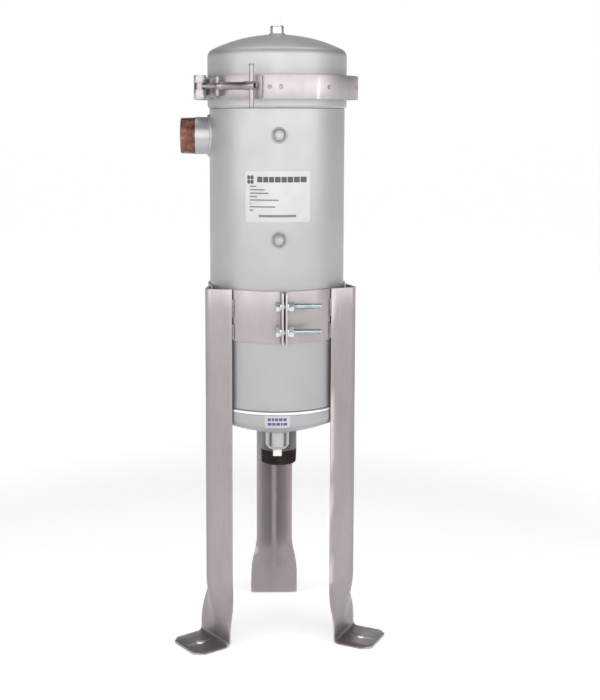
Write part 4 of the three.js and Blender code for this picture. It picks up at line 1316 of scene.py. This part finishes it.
def area_light(name, place, target, size, power):
    data = bpy.data.lights.new(name, "AREA")
    data.shape = "RECTANGLE"
    data.size, data.size_y = size
    data.energy = power
    light = added(name, data)
    light.location = place
    light.rotation_euler = (Vector(target) - Vector(place)).to_track_quat("-Z", "Y").to_euler()
    light.visible_camera = False


ROOM_LIGHT = 0.04


def room():
    """A dim grey room with a bright wall far behind the filter and a white band low all round."""
    world = bpy.data.worlds.new("room")
    world.use_nodes = True
    nodes = Nodes(world.node_tree)
    background = nodes.tree.nodes["Background"].inputs
    background["Color"].default_value = (1, 1, 1, 1)
    direction = nodes.node("ShaderNodeTexCoord").outputs["Generated"]
    wall = nodes.spread(nodes.axis(direction, "Y"), ROOM_LIGHT, 1.0, 0.86, 0.955, "SMOOTHSTEP")
    band = nodes.spread(nodes.axis(direction, "Z"), 1.0, ROOM_LIGHT, 0.095, 0.125, "SMOOTHSTEP")
    brightest = nodes.node("ShaderNodeMath", operation="MAXIMUM")
    nodes.join(wall, brightest.inputs[0])
    nodes.join(band, brightest.inputs[1])
    nodes.join(brightest.outputs["Value"], background["Strength"])
    bpy.context.scene.world = world


def studio():
    room()
    bpy.context.scene.view_settings.view_transform = "Standard"
    reach = 1.35
    for name, turn in (("left_box", -50), ("front_box", 0), ("right_box", 50)):
        x, y = on_ring(reach, radians(turn))
        area_light(name, AXIS + Vector((x, y, 1.18)), AXIS + Vector((0, 0, 0.9)), (1.15, 1.1), 9.4)
    area_light("top_box", AXIS + Vector((0, 0.2, 2.1)), AXIS + Vector((0, 0, 0.95)), (1.6, 0.9), 9)


def camera():
    """Stands where the pictured view was taken from, a little lower than the lid's clamp."""
    data = bpy.data.cameras.new("camera")
    data.lens = 63.68
    data.sensor_width = 36
    data.shift_x = 0.0563
    data.shift_y = -0.13
    eye = added("camera", data)
    eye.location = AXIS + Vector((-0.0294, -2.0236, 0.860))
    pitch = radians(6.71)
    yaw = radians(-0.08)
    eye.rotation_euler = (pi / 2 - pitch, 0, yaw)
    bpy.context.scene.camera = eye


# ---------- everything
for build in (camera, studio, floor, shell, body_flange, lid, bottom_head, tube_sheet, inlet_pipe,
              outlet_pipe):
    build()
for level in ("upper", "lower"):
    gauge_port(level)
for build in (vent_fitting, drain_fitting, main_label, drain_label, clamp_strap, spot_welds):
    build()
clamp_retainer("right", -37, 78)
clamp_retainer("rear", 82, 198)
clamp_retainer("left", 202, 305)
for build in (clamp_bolt, clamp_saddle, saddle_weld_shade_line, clamp_nut, clamp_bar, stand_band):
    build()
for level in ("upper", "lower"):
    stand_fasteners(level)
for side in ("left", "right", "rear"):
    leg(side)
inside()
